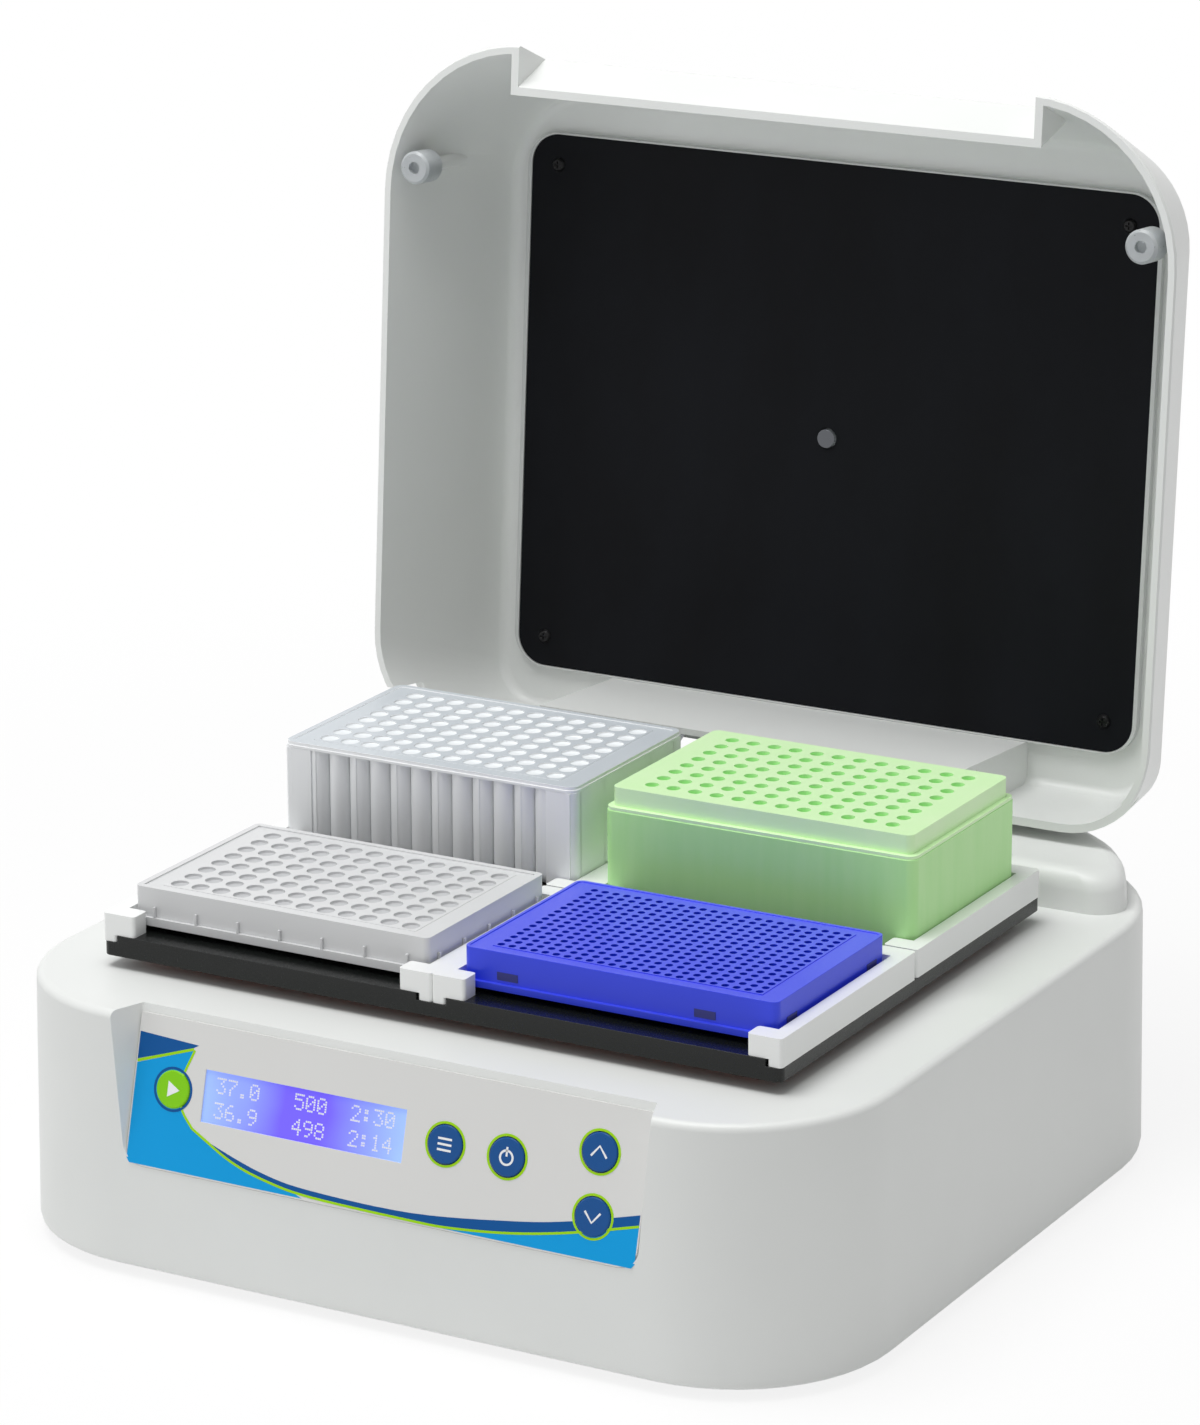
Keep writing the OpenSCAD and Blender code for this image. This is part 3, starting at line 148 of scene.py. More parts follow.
class IncubatorColours(bpy.types.PropertyGroup):
    """Colours that a maker would change, as sRGB hex."""
    casing: bpy.props.StringProperty(
        name="Casing", description="Moulded casing and lid, as sRGB hex", default="#E8EAE8")
    rails: bpy.props.StringProperty(
        name="Rails", description="Plate holder rails, as sRGB hex", default="#F6F7F6")
    grey_plate: bpy.props.StringProperty(
        name="Grey plate", description="Front left plate, as sRGB hex", default="#DCDDDE")
    blue_plate: bpy.props.StringProperty(
        name="Blue plate", description="Front right plate, as sRGB hex", default="#3348EE")
    clear_plate: bpy.props.StringProperty(
        name="Clear plate", description="Deep-well plate, as sRGB hex", default="#FBFCFD")
    rack: bpy.props.StringProperty(
        name="Rack", description="Tube rack's box, as sRGB hex", default="#C4F4AC")
    # The deck's colour is painted paler than the box for light that comes through the thin deck
    rack_deck: bpy.props.StringProperty(
        name="Rack deck", description="Tube rack's deck, as sRGB hex", default="#E2FFCE")


def sizes():
    """The scene's own sizes."""
    return bpy.context.scene.incubator_sizes


def colours():
    """The scene's own colours."""
    return bpy.context.scene.incubator_colours


def linear(code):
    """sRGB hex to linear RGBA."""
    channels = [int(code[i:i + 2], 16) / 255 for i in (1, 3, 5)]
    return (*[c / 12.92 if c <= 0.04045 else ((c + 0.055) / 1.055) ** 2.4 for c in channels], 1.0)


def add(tree, kind, inputs=None, **settings):
    """One node with its settings; inputs takes values and other nodes' outputs."""
    made = tree.nodes.new(kind)
    for name, value in settings.items():
        setattr(made, name, value)
    for socket, value in (inputs or {}).items():
        if isinstance(value, bpy.types.NodeSocket):
            tree.links.new(value, made.inputs[socket])
        else:
            made.inputs[socket].default_value = value
    return made


def blank(name):
    """A new material with a surface shader: (material, tree, shader)."""
    made = bpy.data.materials.new(name)
    made.use_nodes = True
    tree = made.node_tree
    tree.nodes.clear()
    shader = add(tree, "ShaderNodeBsdfPrincipled")
    add(tree, "ShaderNodeOutputMaterial", {"Surface": shader.outputs[0]})
    return made, tree, shader


def surface(name, light, dark, rough, grain_mm, bump_mm, blotch_mm=60, rough_swing=0.06, stretch=(1, 1, 1),
            blotch_stretch=(1, 1, 1), **fixed):
    """Two close tones in blotches, a fine grain in the bump, and a roughness that drifts with it."""
    made, tree, shader = blank(name)
    place = add(tree, "ShaderNodeTexCoord").outputs["Object"]
    drawn = add(tree, "ShaderNodeMapping", {"Vector": place, "Scale": stretch}).outputs[0]
    spread = add(tree, "ShaderNodeMapping", {"Vector": place, "Scale": blotch_stretch}).outputs[0]
    blotch = add(tree, "ShaderNodeTexNoise", {"Vector": spread, "Scale": 1 / (blotch_mm * MM), "Detail": 3.0})
    grain = add(tree, "ShaderNodeTexNoise", {"Vector": drawn, "Scale": 1 / (grain_mm * MM), "Detail": 2.0})
    tone = add(tree, "ShaderNodeMix", {0: blotch.outputs[0], 6: linear(light), 7: linear(dark)}, data_type="RGBA")
    drift = add(tree, "ShaderNodeMapRange", {"Value": grain.outputs[0], "To Min": rough - rough_swing,
                                              "To Max": rough + rough_swing})
    bump = add(tree, "ShaderNodeBump", {"Height": grain.outputs[0], "Distance": bump_mm * MM})
    tree.links.new(tone.outputs[2], shader.inputs["Base Color"])
    tree.links.new(drift.outputs[0], shader.inputs["Roughness"])
    tree.links.new(bump.outputs[0], shader.inputs["Normal"])
    for socket, value in fixed.items():
        shader.inputs[socket.replace("_", " ")].default_value = value
    return made


def display():
    """Backlit glass: violet over its middle, pale blue towards both ends, lit from behind."""
    made, tree, shader = blank("backlit_display")
    place = add(tree, "ShaderNodeTexCoord").outputs["Object"]
    across = add(tree, "ShaderNodeSeparateXYZ", {0: place}).outputs[0]
    off = add(tree, "ShaderNodeMath", {0: across, 1: WINDOW[0] * MM}, operation="SUBTRACT").outputs[0]
    away = add(tree, "ShaderNodeMath", {0: off}, operation="ABSOLUTE").outputs[0]
    share = add(tree, "ShaderNodeMapRange", {"Value": away, "From Min": 8 * MM, "From Max": 44 * MM}).outputs[0]
    cloud = add(tree, "ShaderNodeTexNoise", {"Vector": place, "Scale": 1 / (18 * MM), "Detail": 1.0})
    uneven = add(tree, "ShaderNodeMapRange", {"Value": cloud.outputs[0], "To Min": -0.15, "To Max": 0.15})
    total = add(tree, "ShaderNodeMath", {0: share, 1: uneven.outputs[0]}, operation="ADD", use_clamp=True)
    tone = add(tree, "ShaderNodeMix", {0: total.outputs[0], 6: linear("#6653EE"), 7: linear("#93B4F8")},
               data_type="RGBA").outputs[2]
    tree.links.new(tone, shader.inputs["Base Color"])
    tree.links.new(tone, shader.inputs["Emission Color"])
    shader.inputs["Emission Strength"].default_value = 0.45
    shader.inputs["Roughness"].default_value = 0.12
    return made


def make_finishes():
    """Every slot of the record with the material that it wears, and the inks of the panel's print."""
    c = colours()
    return {
        # ABS, spark-eroded mould: an even satin with a fine orange-peel
        "casing_plastic": surface("abs_casing_satin", c.casing, "#E1E3E1", 0.42, 0.9, 0.02, IOR=1.5),
        # The same resin from a finer mould: a touch smoother
        "lid_plastic": surface("abs_lid_satin", c.casing, "#E1E3E1", 0.38, 0.9, 0.02, IOR=1.5),
        # Moulded acetal: smoother and whiter than the casing, and a little shiny
        "rail_plastic": surface("acetal_rail_white", c.rails, "#EEF0EF", 0.24, 1.2, 0.01, IOR=1.48),
        # Powder coat on steel sheet: a coarse pebble
        "pan_steel": surface("powder_coated_pan", "#5C5E60", "#545658", 0.55, 0.7, 0.05),
        # Nitrile rubber, moulded: dull and dusty
        "foot_rubber": surface("nitrile_foot", "#1C1C1C", "#262626", 0.8, 0.8, 0.05),
        # Silicone, moulded: milky, with a soft shine
        "bumper_silicone": surface("silicone_bumper", "#DDE1E3", "#C9CED1", 0.3, 1.5, 0.02, blotch_mm=6,
                                   Transmission_Weight=0.35, IOR=1.41),
        # Zinc-plated steel screws: pale metal with turned marks
        "screw_steel": surface("zinc_plated_screw", "#C9CBCD", "#B4B7BB", 0.3, 0.4, 0.01, Metallic=1.0),
        # Black oxide on steel: dark and oily
        "black_screw": surface("black_oxide_screw", "#121212", "#1C1C1E", 0.38, 0.4, 0.01, Metallic=0.6),
        # Polyester film, printed on its back: smooth, with a low even shine
        "overlay_film": surface("printed_polyester", "#DEDEDC", "#D9D9D7", 0.32, 1.0, 0.004, IOR=1.57),
        # Glass over a lit liquid crystal: smooth, glowing from behind
        "lcd_glass": display(),
        # Domed polyester keys over their inks: the film's shine on a full colour
        "start_key": surface("embossed_start_key", "#86D400", "#7DC800", 0.3, 1.0, 0.01, Specular_IOR_Level=0.3),
        # The same key over blue ink
        "blue_key": surface("embossed_blue_key", "#004F93", "#004A8A", 0.3, 1.0, 0.01, Specular_IOR_Level=0.3),
        # Screen inks on the film: flat colour under the film's shine
        "sky_ink": surface("sky_blue_ink", "#00A0E4", "#009ADC", 0.36, 1.0, 0.004, Specular_IOR_Level=0.2),
        "deep_ink": surface("deep_blue_ink", "#00569C", "#005094", 0.36, 1.0, 0.004, Specular_IOR_Level=0.2),
        "lime_ink": surface("lime_ink", "#A5DE10", "#9BD406", 0.36, 1.0, 0.004, Specular_IOR_Level=0.2),
        # Opaque white ink, also the lit dots of the display
        "white_ink": surface("white_ink", "#F4F5F6", "#ECEEF0", 0.34, 1.0, 0.004, IOR=1.5),
        # Glass-epoxy board under solder mask: green gloss
        "board_laminate": surface("solder_masked_board", "#1F6B3A", "#185A30", 0.3, 2.0, 0.02, IOR=1.55),
        # Zinc-plated sheet: pale, with a faint spangle
        "sheet_steel": surface("zinc_plated_sheet", "#C3C6CA", "#AEB2B7", 0.34, 3.0, 0.01, blotch_mm=9,
                               Metallic=1.0),
        # Milled aluminium: cutter lines drawn along X
        "chassis_aluminium": surface("milled_aluminium", "#D3D5D7", "#C0C3C6", 0.36, 0.5, 0.01, stretch=(0.1, 1, 1),
                                     Metallic=1.0),
        # Ground bearing steel: close to a mirror
        "bearing_steel": surface("ground_bearing_steel", "#D6D7D9", "#C8CACC", 0.16, 0.4, 0.003, Metallic=1.0),
        # Turned steel: fine rings round the axis
        "shaft_steel": surface("turned_steel", "#BFC1C5", "#A9ACB1", 0.28, 0.4, 0.008, stretch=(0.2, 0.2, 1),
                               Metallic=1.0),
        # Cast iron, machined: grey and slightly porous
        "weight_iron": surface("machined_cast_iron", "#85868A", "#737478", 0.5, 0.6, 0.03, Metallic=0.9),
        # Stoved paint on a motor can: black, half gloss
        "motor_black": surface("stoved_black_paint", "#2E2F32", "#26272A", 0.4, 0.8, 0.02),
        # Neoprene belt: dull with a cord weave
        "belt_rubber": surface("neoprene_belt", "#1A1A1A", "#242424", 0.72, 0.6, 0.05),
        # Sintered bronze: warm, porous
        "bushing_bronze": surface("sintered_bronze", "#B9A36B", "#A18C58", 0.45, 0.4, 0.03, Metallic=1.0),
        # Black anodised aluminium: deep satin black that takes a cool shine
        "tray_anodised": surface("black_anodised_tray", "#0C0E0D", "#131615", 0.26, 0.7, 0.006,
                                  Specular_IOR_Level=0.35),
        # Silicone heater mat: brick red, cloth-backed
        "mat_silicone": surface("silicone_heater_mat", "#B9552E", "#A64A27", 0.6, 1.2, 0.05),
        # Black anodised sheet: matt, with faint blue-grey wipe marks some centimetres wide
        "heater_anodised": surface("black_anodised_sheet", "#0A0A0B", "#17191E", 0.5, 0.8, 0.004, blotch_mm=45,
                                   rough_swing=0.08, blotch_stretch=(1, 0.6, 0.4), Specular_IOR_Level=0.08),
        # Moulded edge strip: pale grey satin
        "trim_plastic": surface("moulded_trim", "#CFD1D0", "#C6C8C7", 0.4, 1.0, 0.01),
        # Stainless steel cap, polished
        "sensor_steel": surface("polished_stainless", "#66686C", "#57595D", 0.14, 0.6, 0.004, Metallic=1.0),
        # Glass-filled nylon: black, faintly mottled
        "fitting_black": surface("nylon_fitting", "#1E1E1F", "#28282A", 0.5, 0.9, 0.03),
        # Polypropylene, injection moulded: waxy, with a soft shine and slow flow marks
        "plate_grey": surface("polypropylene_grey", c.grey_plate, "#D3D4D5", 0.36, 1.2, 0.01, IOR=1.49),
        # The same resin, filled blue: a full colour right through
        "plate_blue": surface("polypropylene_blue", c.blue_plate, "#2A3FE4", 0.34, 1.2, 0.006,
                              Specular_IOR_Level=0.4),
        # The same, unfilled: frosted, near white where walls stand behind one another
        "plate_clear": surface("polypropylene_frosted", c.clear_plate, "#F0F2F4", 0.4, 1.2, 0.008, IOR=1.49,
                               Transmission_Weight=0.05),
        # Lime filled polypropylene: flow streaks run up its walls
        "rack_green": surface("polypropylene_lime", c.rack, "#B2EE98", 0.34, 1.4, 0.012, blotch_mm=5,
                              blotch_stretch=(1, 1, 0.12), IOR=1.49),
        # Its deck, thinner, and paler: painted light for the light that comes through it from behind
        "rack_deck_green": surface("polypropylene_lime_painted_backlight", c.rack_deck, "#D8FFC2", 0.34, 1.4, 0.012, blotch_mm=14,
                                   IOR=1.49),
        # The grey plate's well floors, darker: painted shade where they let less light back
        "grey_well_painted_shade": surface("polypropylene_grey_painted_well_shade", "#C6C7C9", "#BFC0C2", 0.4, 1.2, 0.01, IOR=1.49),
        # The blue plate's top, painted paler: a painted sheen of the light from above
        "blue_top_painted_sheen": surface("polypropylene_blue_painted_top_sheen", "#6068F0", "#555DEA", 0.34, 1.2, 0.006, IOR=1.49),
        # Its wells, painted a darker, fuller blue: painted shade where light bounces between blue walls
        "blue_well_painted_shade": surface("polypropylene_blue_painted_well_shade", "#1F3FE8", "#1A36D8", 0.4, 1.2, 0.006,
                              Specular_IOR_Level=0.2),
        # Its clip windows, dark patches of painted shade for the dark inside that they open on
        "blue_window_painted_shade": surface("blue_clip_window_painted_shade", "#2A2F86", "#23286F", 0.5, 1.0, 0.01),
        # The clear plate's top, painted greyer: painted shade where the eye sees down between the tubes
        "frosted_top_painted_shade": surface("polypropylene_frosted_painted_top_shade", "#CDD3D8", "#C2C9CF", 0.36, 1.2, 0.008, blotch_mm=30,
                               IOR=1.49),
        # Its well mouths, painted whiter: painted light from their own walls
        "frosted_well_painted_light": surface("polypropylene_frosted_painted_well_light", "#F0F3F5", "#E4E8EB", 0.4, 1.2, 0.008, IOR=1.49),
        # The rack's floor under its holes: a deep green, painted shade from many bounces
        "rack_hole_painted_shade": surface("polypropylene_lime_painted_hole_shade", "#74EE58", "#66E04A", 0.5, 1.4, 0.01,
                              Specular_IOR_Level=0.2),
    }


def finish_of(slot):
    """The material of a slot, made once."""
    if not FINISHES:
        FINISHES.update(make_finishes())
    return FINISHES[slot]


def body(node):
    """The body that a CAD node rides on."""
    return body_of(frame["nodes"][node])[0]


FINISHES = {}
SLOTS = {p["node"]: p["material_slot"] for p in frame["record"]["subparts"]}
PANEL_BODY = body("panel_overlay")


def deselect():
    """Object mode with nothing selected."""
    if bpy.context.object and bpy.context.object.mode != "OBJECT":
        bpy.ops.object.mode_set(mode="OBJECT")
    bpy.ops.object.select_all(action="DESELECT")


def make_active(obj):
    """The piece alone selected and active."""
    deselect()
    obj.select_set(True)
    bpy.context.view_layer.objects.active = obj


def hand_over(obj, node):
    """The piece takes its body, slot and finish from the node, and stands for it."""
    slot = SLOTS[node]
    obj.data.materials.clear()
    obj.data.materials.append(finish_of(slot))
    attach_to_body(obj, body(node))
    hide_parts(node)
    return obj


def smooth(obj):
    """Smooth over slight angles, with broad faces kept flat to the eye."""
    make_active(obj)
    bpy.ops.object.shade_smooth_by_angle(angle=math.radians(SMOOTH_ANGLE))
    even = obj.modifiers.new("even", "WEIGHTED_NORMAL")
    even.keep_sharp = True
    bpy.ops.object.modifier_apply(modifier=even.name)


def edit(obj, kind="FACE"):
    """Edit mode on the piece alone, with nothing selected."""
    make_active(obj)
    bpy.ops.object.mode_set(mode="EDIT")
    bpy.ops.mesh.select_mode(type=kind)
    bpy.ops.mesh.select_all(action="DESELECT")


def leave():
    """Back to object mode."""
    bpy.ops.object.mode_set(mode="OBJECT")


def pick(obj, test, kind="FACE"):
    """Edit mode with the faces or edges that pass the test selected."""
    edit(obj, kind)
    leave()
    for part in obj.data.polygons if kind == "FACE" else obj.data.edges:
        part.select = test(part)
    bpy.ops.object.mode_set(mode="EDIT")


def rise(by):
    """Extrudes what is selected along Z."""
    bpy.ops.mesh.extrude_region_move(TRANSFORM_OT_translate={"value": (0, 0, by)})


def face_out(obj):
    """Turns every face outwards."""
    edit(obj)
    bpy.ops.mesh.select_all(action="SELECT")
    bpy.ops.mesh.normals_make_consistent(inside=False)
    leave()


def open_edges():
    """In edit mode, selects the edges round an opening."""
    bpy.ops.mesh.select_mode(type="EDGE")
    bpy.ops.mesh.select_all(action="DESELECT")
    bpy.ops.mesh.select_non_manifold(extend=False, use_wire=False, use_boundary=True, use_multi_face=False,
                                     use_non_contiguous=False, use_verts=False)


def repeat(obj, pitch, columns, rows, weld=False):
    """Copies of the piece in columns and rows, in one mesh, welded where they meet if asked."""
    for axis, count in ((0, columns), (1, rows)):
        row = obj.modifiers.new("row", "ARRAY")
        row.count = count
        row.use_relative_offset = False
        row.use_constant_offset = True
        row.constant_offset_displace = [pitch * MM if i == axis else 0 for i in range(3)]
        row.use_merge_vertices = weld
        row.merge_threshold = 0.01 * MM
        bpy.ops.object.modifier_apply(modifier=row.name)


def attach(obj, name, slot, carrier, finish=None):
    """Names a new piece, gives it its finish, or its slot's finish when none is given, and lets it ride on the body
    that carries it.
    """
    obj.name = name
    obj.data.materials.clear()
    obj.data.materials.append(finish_of(finish or slot))
    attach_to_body(obj, carrier)
    return obj


def tint(obj, finish, test):
    """Gives the faces that pass the test a finish of their own; here every such finish is painted light or shade."""
    obj.data.materials.append(finish_of(finish))
    for face in obj.data.polygons:
        if test(face):
            face.material_index = len(obj.data.materials) - 1


def joined(parts):
    """One object from several."""
    deselect()
    for part in parts:
        part.select_set(True)
    bpy.context.view_layer.objects.active = parts[0]
    bpy.ops.object.join()
    return parts[0]


def copy_at(first, shift):
    """A copy with its own mesh, moved."""
    made = first.copy()
    made.data = first.data.copy()
    made.data.transform(Matrix.Translation(shift))
    bpy.context.scene.collection.objects.link(made)
    return made


def round_edges(obj, radius, segments=2, angle=SMOOTH_ANGLE):
    """Rounds every edge sharper than the angle, and applies it."""
    make_active(obj)
    bevel = obj.modifiers.new("edges", "BEVEL")
    bevel.width = radius
    bevel.segments = segments
    bevel.limit_method = "ANGLE"
    bevel.angle_limit = math.radians(angle)
    bpy.ops.object.modifier_apply(modifier=bevel.name)


def dress(node, edge=0.0, segments=2):
    """A merged copy of a node's mesh with its edges rounded, handed over for the node."""
    obj = bpy.data.objects.new(node + "_piece", frame["nodes"][node].data.copy())
    bpy.context.scene.collection.objects.link(obj)
    make_active(obj)
    bpy.ops.object.mode_set(mode="EDIT")
    bpy.ops.mesh.select_all(action="SELECT")
    bpy.ops.mesh.remove_doubles(threshold=0.002 * MM)
    bpy.ops.mesh.dissolve_limited(angle_limit=math.radians(0.5))
    leave()
    if edge:
        round_edges(obj, edge, segments)
    smooth(obj)
    return hand_over(obj, node)


class INCUBATOR_OT_casing(bpy.types.Operator):
    """Casing, bottom pan, feet and case screws"""
    bl_idname = "incubator.casing"
    bl_label = "Casing"

    def execute(self, context):
        dress("upper_housing", sizes().casing_edge)
        dress("bottom_pan", sizes().part_edge)
        dress("feet", sizes().part_edge)
        dress("pan_screws", sizes().part_edge)
        return {"FINISHED"}


def curve_through(points, steps=6):
    """Points along a smooth curve through the given ones."""
    flat = [Vector(p) for p in points]
    ends = [2 * flat[0] - flat[1], *flat, 2 * flat[-1] - flat[-2]]
    found = []
    for a, b, c, d in zip(ends, ends[1:], ends[2:], ends[3:]):
        found += geometry.interpolate_bezier(b, b + (c - a) / 6, c - (d - b) / 6, c, steps + 1)[:-1]
    return [(p[0], p[1]) for p in found] + [tuple(points[-1])]


def strip(points, width):
    """The outline of a line of even width along the points."""
    left, right = [], []
    for i, point in enumerate(points):
        before, after = Vector(points[max(i - 1, 0)]), Vector(points[min(i + 1, len(points) - 1)])
        along = (after - before).normalized()
        side = Vector((-along[1], along[0])) * width / 2
        left.append(tuple(Vector(point) + side))
        right.append(tuple(Vector(point) - side))
    return left + right[::-1]


def film(outline, low, high):
    """A thin layer of an outline between two heights over the panel, in panel millimetres."""
    deselect()
    bpy.ops.mesh.primitive_circle_add(vertices=len(outline), radius=MM, fill_type="NGON")
    made = bpy.context.object
    for vertex, (u, v) in zip(made.data.vertices, outline):
        vertex.co = Vector((u, v, low)) * MM
    edit(made)
    bpy.ops.mesh.select_all(action="SELECT")
    rise((high - low) * MM)
    leave()
    face_out(made)
    made.data.transform(PANEL)
    return made


def ring(centre, outer, inner, low, high):
    """A flat ring round a place on the panel."""
    deselect()
    bpy.ops.mesh.primitive_circle_add(vertices=64, radius=outer * MM, fill_type="NGON")
    made = bpy.context.object
    edit(made)
    bpy.ops.mesh.select_all(action="SELECT")
    bpy.ops.mesh.inset(thickness=(outer - inner) * MM)
    bpy.ops.mesh.delete(type="FACE")
    bpy.ops.mesh.select_all(action="SELECT")
    rise((high - low) * MM)
    leave()
    face_out(made)
    made.data.transform(Matrix.Translation(Vector((*centre, low)) * MM))
    made.data.transform(PANEL)
    return made


def shifted(points, centre):
    """An outline moved to a place on the panel."""
    return [(u + centre[0], v + centre[1]) for u, v in points]


def bar(u0, v0, u1, v1):
    """The outline of an upright rectangle."""
    return [(u0, v0), (u1, v0), (u1, v1), (u0, v1)]


def print_fields():
    """The film's swept fields and lines: blue at both lower corners, a darker sweep and lime edges."""
    edge = 104.7
    hollow = [(-81, 45.4), (-85.5, 32.5), (-83.8, 23.7), (-78.6, 17.4)]
    under = [(-78.6, 17.4), (-61, 8.6), (-45, 4.2), (-26, 1.9), (15, 1.2), (32, 1.6), (55.5, 4.2), (79, 8.8),
             (edge, 15.6)]
    over = [(-78.6, 17.4), (-70, 13.4), (-48, 6.9), (-27, 4.2), (15, 3.9), (55, 8.4), (78, 12.6), (edge, 19.6)]
    foot, cut = 0.8, 2.4
    low, high = FILM_TOP - INK_DEPTH, FILM_TOP
    line = curve_through(under)
    left = [p for p in line if p[1] > 2.2 and p[0] < -20]
    right = [p for p in line if p[0] > 30]
    fields = {
        "print_corner": ("deep_ink", [(-edge, 48.6), (-79.5, 47.4), (-82.5, 45.7), (-edge, 38.6)], 0.06),
        "print_field": ("sky_ink", [(-edge, 37.2), *curve_through(hollow), *left[1:], (-30, foot),
                                    (-edge + 1.2, foot), (-edge, cut)], 0.03),
        "print_sweep": ("deep_ink", curve_through(over) + line[::-1][:-1], 0.06),
        "print_wedge": ("sky_ink", [(28, foot), *right, (edge, cut), (edge - 1.2, foot)], 0.03),
    }
    for name, (ink, outline, proud) in fields.items():
        attach(film(outline, low, high + proud), name, "overlay_film", PANEL_BODY, ink)
    lines = [film(strip([(-edge, 37.9), (-81.5, 45.7)], 1.0), low, high + 0.08),
             film(strip(curve_through(hollow), 0.9), low, high + 0.09),
             film(strip(line, 0.9), low, high + 0.1)]
    attach(joined(lines), "print_lines", "overlay_film", PANEL_BODY, "lime_ink")


def key_prints():
    """A ring round each key and its sign: a start arrow, bars, a power sign and two arrow heads."""
    arrow = [(-3.1, -1.7), (0, 2.1), (3.1, -1.7)]
    signs = {
        "start_button": [[(-1.9, -2.9), (3.1, 0), (-1.9, 2.9)]],
        "set_button": [bar(-2.8, v - 0.4, 2.8, v + 0.4) for v in (-2, 0, 2)],
        "off_button": [bar(-0.4, 0.2, 0.4, 3.6)],
        "up_button": [strip(arrow, 0.8)],
        "down_button": [strip([(u, -v) for u, v in arrow], 0.8)],
    }
    for key, centre in KEYS.items():
        ink = "deep_ink" if key == "start_button" else "lime_ink"
        attach(ring(centre, KEY_RADIUS + 1.15, KEY_RADIUS + 0.3, FILM_TOP - INK_DEPTH, FILM_TOP + 0.12),
               key.replace("_button", "_ring"), "overlay_film", PANEL_BODY, ink)
        low, high = KEY_TOP - INK_DEPTH, KEY_TOP + INK_DEPTH
        parts = [film(shifted(shape, centre), low, high) for shape in signs[key]]
        if key == "off_button":
            parts.append(ring((centre[0], centre[1] - 0.2), 2.9, 2.1, low, high))
        attach(joined(parts), key.replace("_button", "_sign"), SLOTS[key], body(key), "white_ink")


def display_dots():
    """Two lines of plain numbers in five by seven dots on the display."""
    first = film(bar(0, 0, DOT_SIZE, DOT_SIZE), 0.0, 0.06)
    across, up = PANEL.to_3x3() @ Vector((1, 0, 0)), PANEL.to_3x3() @ Vector((0, 1, 0))
    margin, top = 0.4, DOT_ROWS / 2 - 1
    dots = []
    for v, text in LINES.items():
        for place, letter in enumerate(text):
            if letter == " ":
                continue
            rows = [int(DOTS[letter][i:i + 2], 16) for i in range(0, 2 * DOT_ROWS, 2)]
            left = WINDOW[0] + (place - COLUMNS / 2) * LETTER_STEP + margin
            for row, bits in enumerate(rows):
                for column in range(DOT_COLUMNS):
                    if bits >> (DOT_COLUMNS - 1 - column) & 1:
                        u = left + column * DOT_STEP[0]
                        dots.append(copy_at(first, (across * u + up * (v + (top - row) * DOT_STEP[1])) * MM))
    bpy.data.objects.remove(first)
    attach(joined(dots), "display_dots", "lcd_glass", PANEL_BODY, "white_ink")


class INCUBATOR_OT_panel(bpy.types.Operator):
    """Printed overlay, display, keys and their signs"""
    bl_idname = "incubator.panel"
    bl_label = "Control panel"

    def execute(self, context):
        dress("panel_overlay", FINE_EDGE)
        dress("lcd_module", FINE_EDGE)
        for key in KEYS:
            dress(key, KEY_EDGE, 3)
        dress("control_board", FINE_EDGE)
        print_fields()
        key_prints()
        display_dots()
        return {"FINISHED"}


class INCUBATOR_OT_drive(bpy.types.Operator):
    """Supply, chassis, shaft, pulleys, belt, motor and idler cranks"""
    bl_idname = "incubator.drive"
    bl_label = "Drive"

    def execute(self, context):
        for node in ("power_supply", "chassis_plate", "chassis_posts", "bearing_housing", "shaft_bearings",
                     "eccentric_shaft", "driven_pulley", "counterweight", "drive_motor", "motor_rotor",
                     "drive_belt", "idler_bushings", "idler_crank_1", "idler_crank_2", "idler_crank_3",
                     "idler_crank_4"):
            dress(node, sizes().part_edge)
        return {"FINISHED"}


class INCUBATOR_OT_tray(bpy.types.Operator):
    """Tray, heater mat, hub bearing and holder rails"""
    bl_idname = "incubator.tray"
    bl_label = "Tray"

    def execute(self, context):
        dress("tray_plate", sizes().part_edge)
        dress("tray_heater_mat")
        dress("hub_bearing", sizes().part_edge)
        for i in range(8):
            dress(f"holder_rail_{i + 1}", RAIL_EDGE, 3)
        return {"FINISHED"}


class INCUBATOR_OT_mains(bpy.types.Operator):
    """Mains inlet, power rocker and fuse drawer"""
    bl_idname = "incubator.mains"
    bl_label = "Mains fittings"

    def execute(self, context):
        for node in ("power_inlet", "rocker_switch", "switch_bezel", "fuse_drawer"):
            dress(node, sizes().part_edge)
        return {"FINISHED"}


class INCUBATOR_OT_hinge(bpy.types.Operator):
    """Hinge brackets, pins and arms"""
    bl_idname = "incubator.hinge"
    bl_label = "Hinge"

    def execute(self, context):
        for node in ("hinge_brackets", "hinge_pins", "lid_hinge_arms"):
            dress(node, sizes().part_edge)
        return {"FINISHED"}


class INCUBATOR_OT_lid(bpy.types.Operator):
    """Lid shell, heater plate with its trim, screws and sensor, and bumpers"""
    bl_idname = "incubator.lid"
    bl_label = "Lid"

    def execute(self, context):
        dress("lid_shell", sizes().casing_edge)
        for node in ("lid_heater_plate", "heater_plate_trim", "lid_plate_screws", "lid_sensor", "lid_bumpers"):
            dress(node, FINE_EDGE)
        return {"FINISHED"}


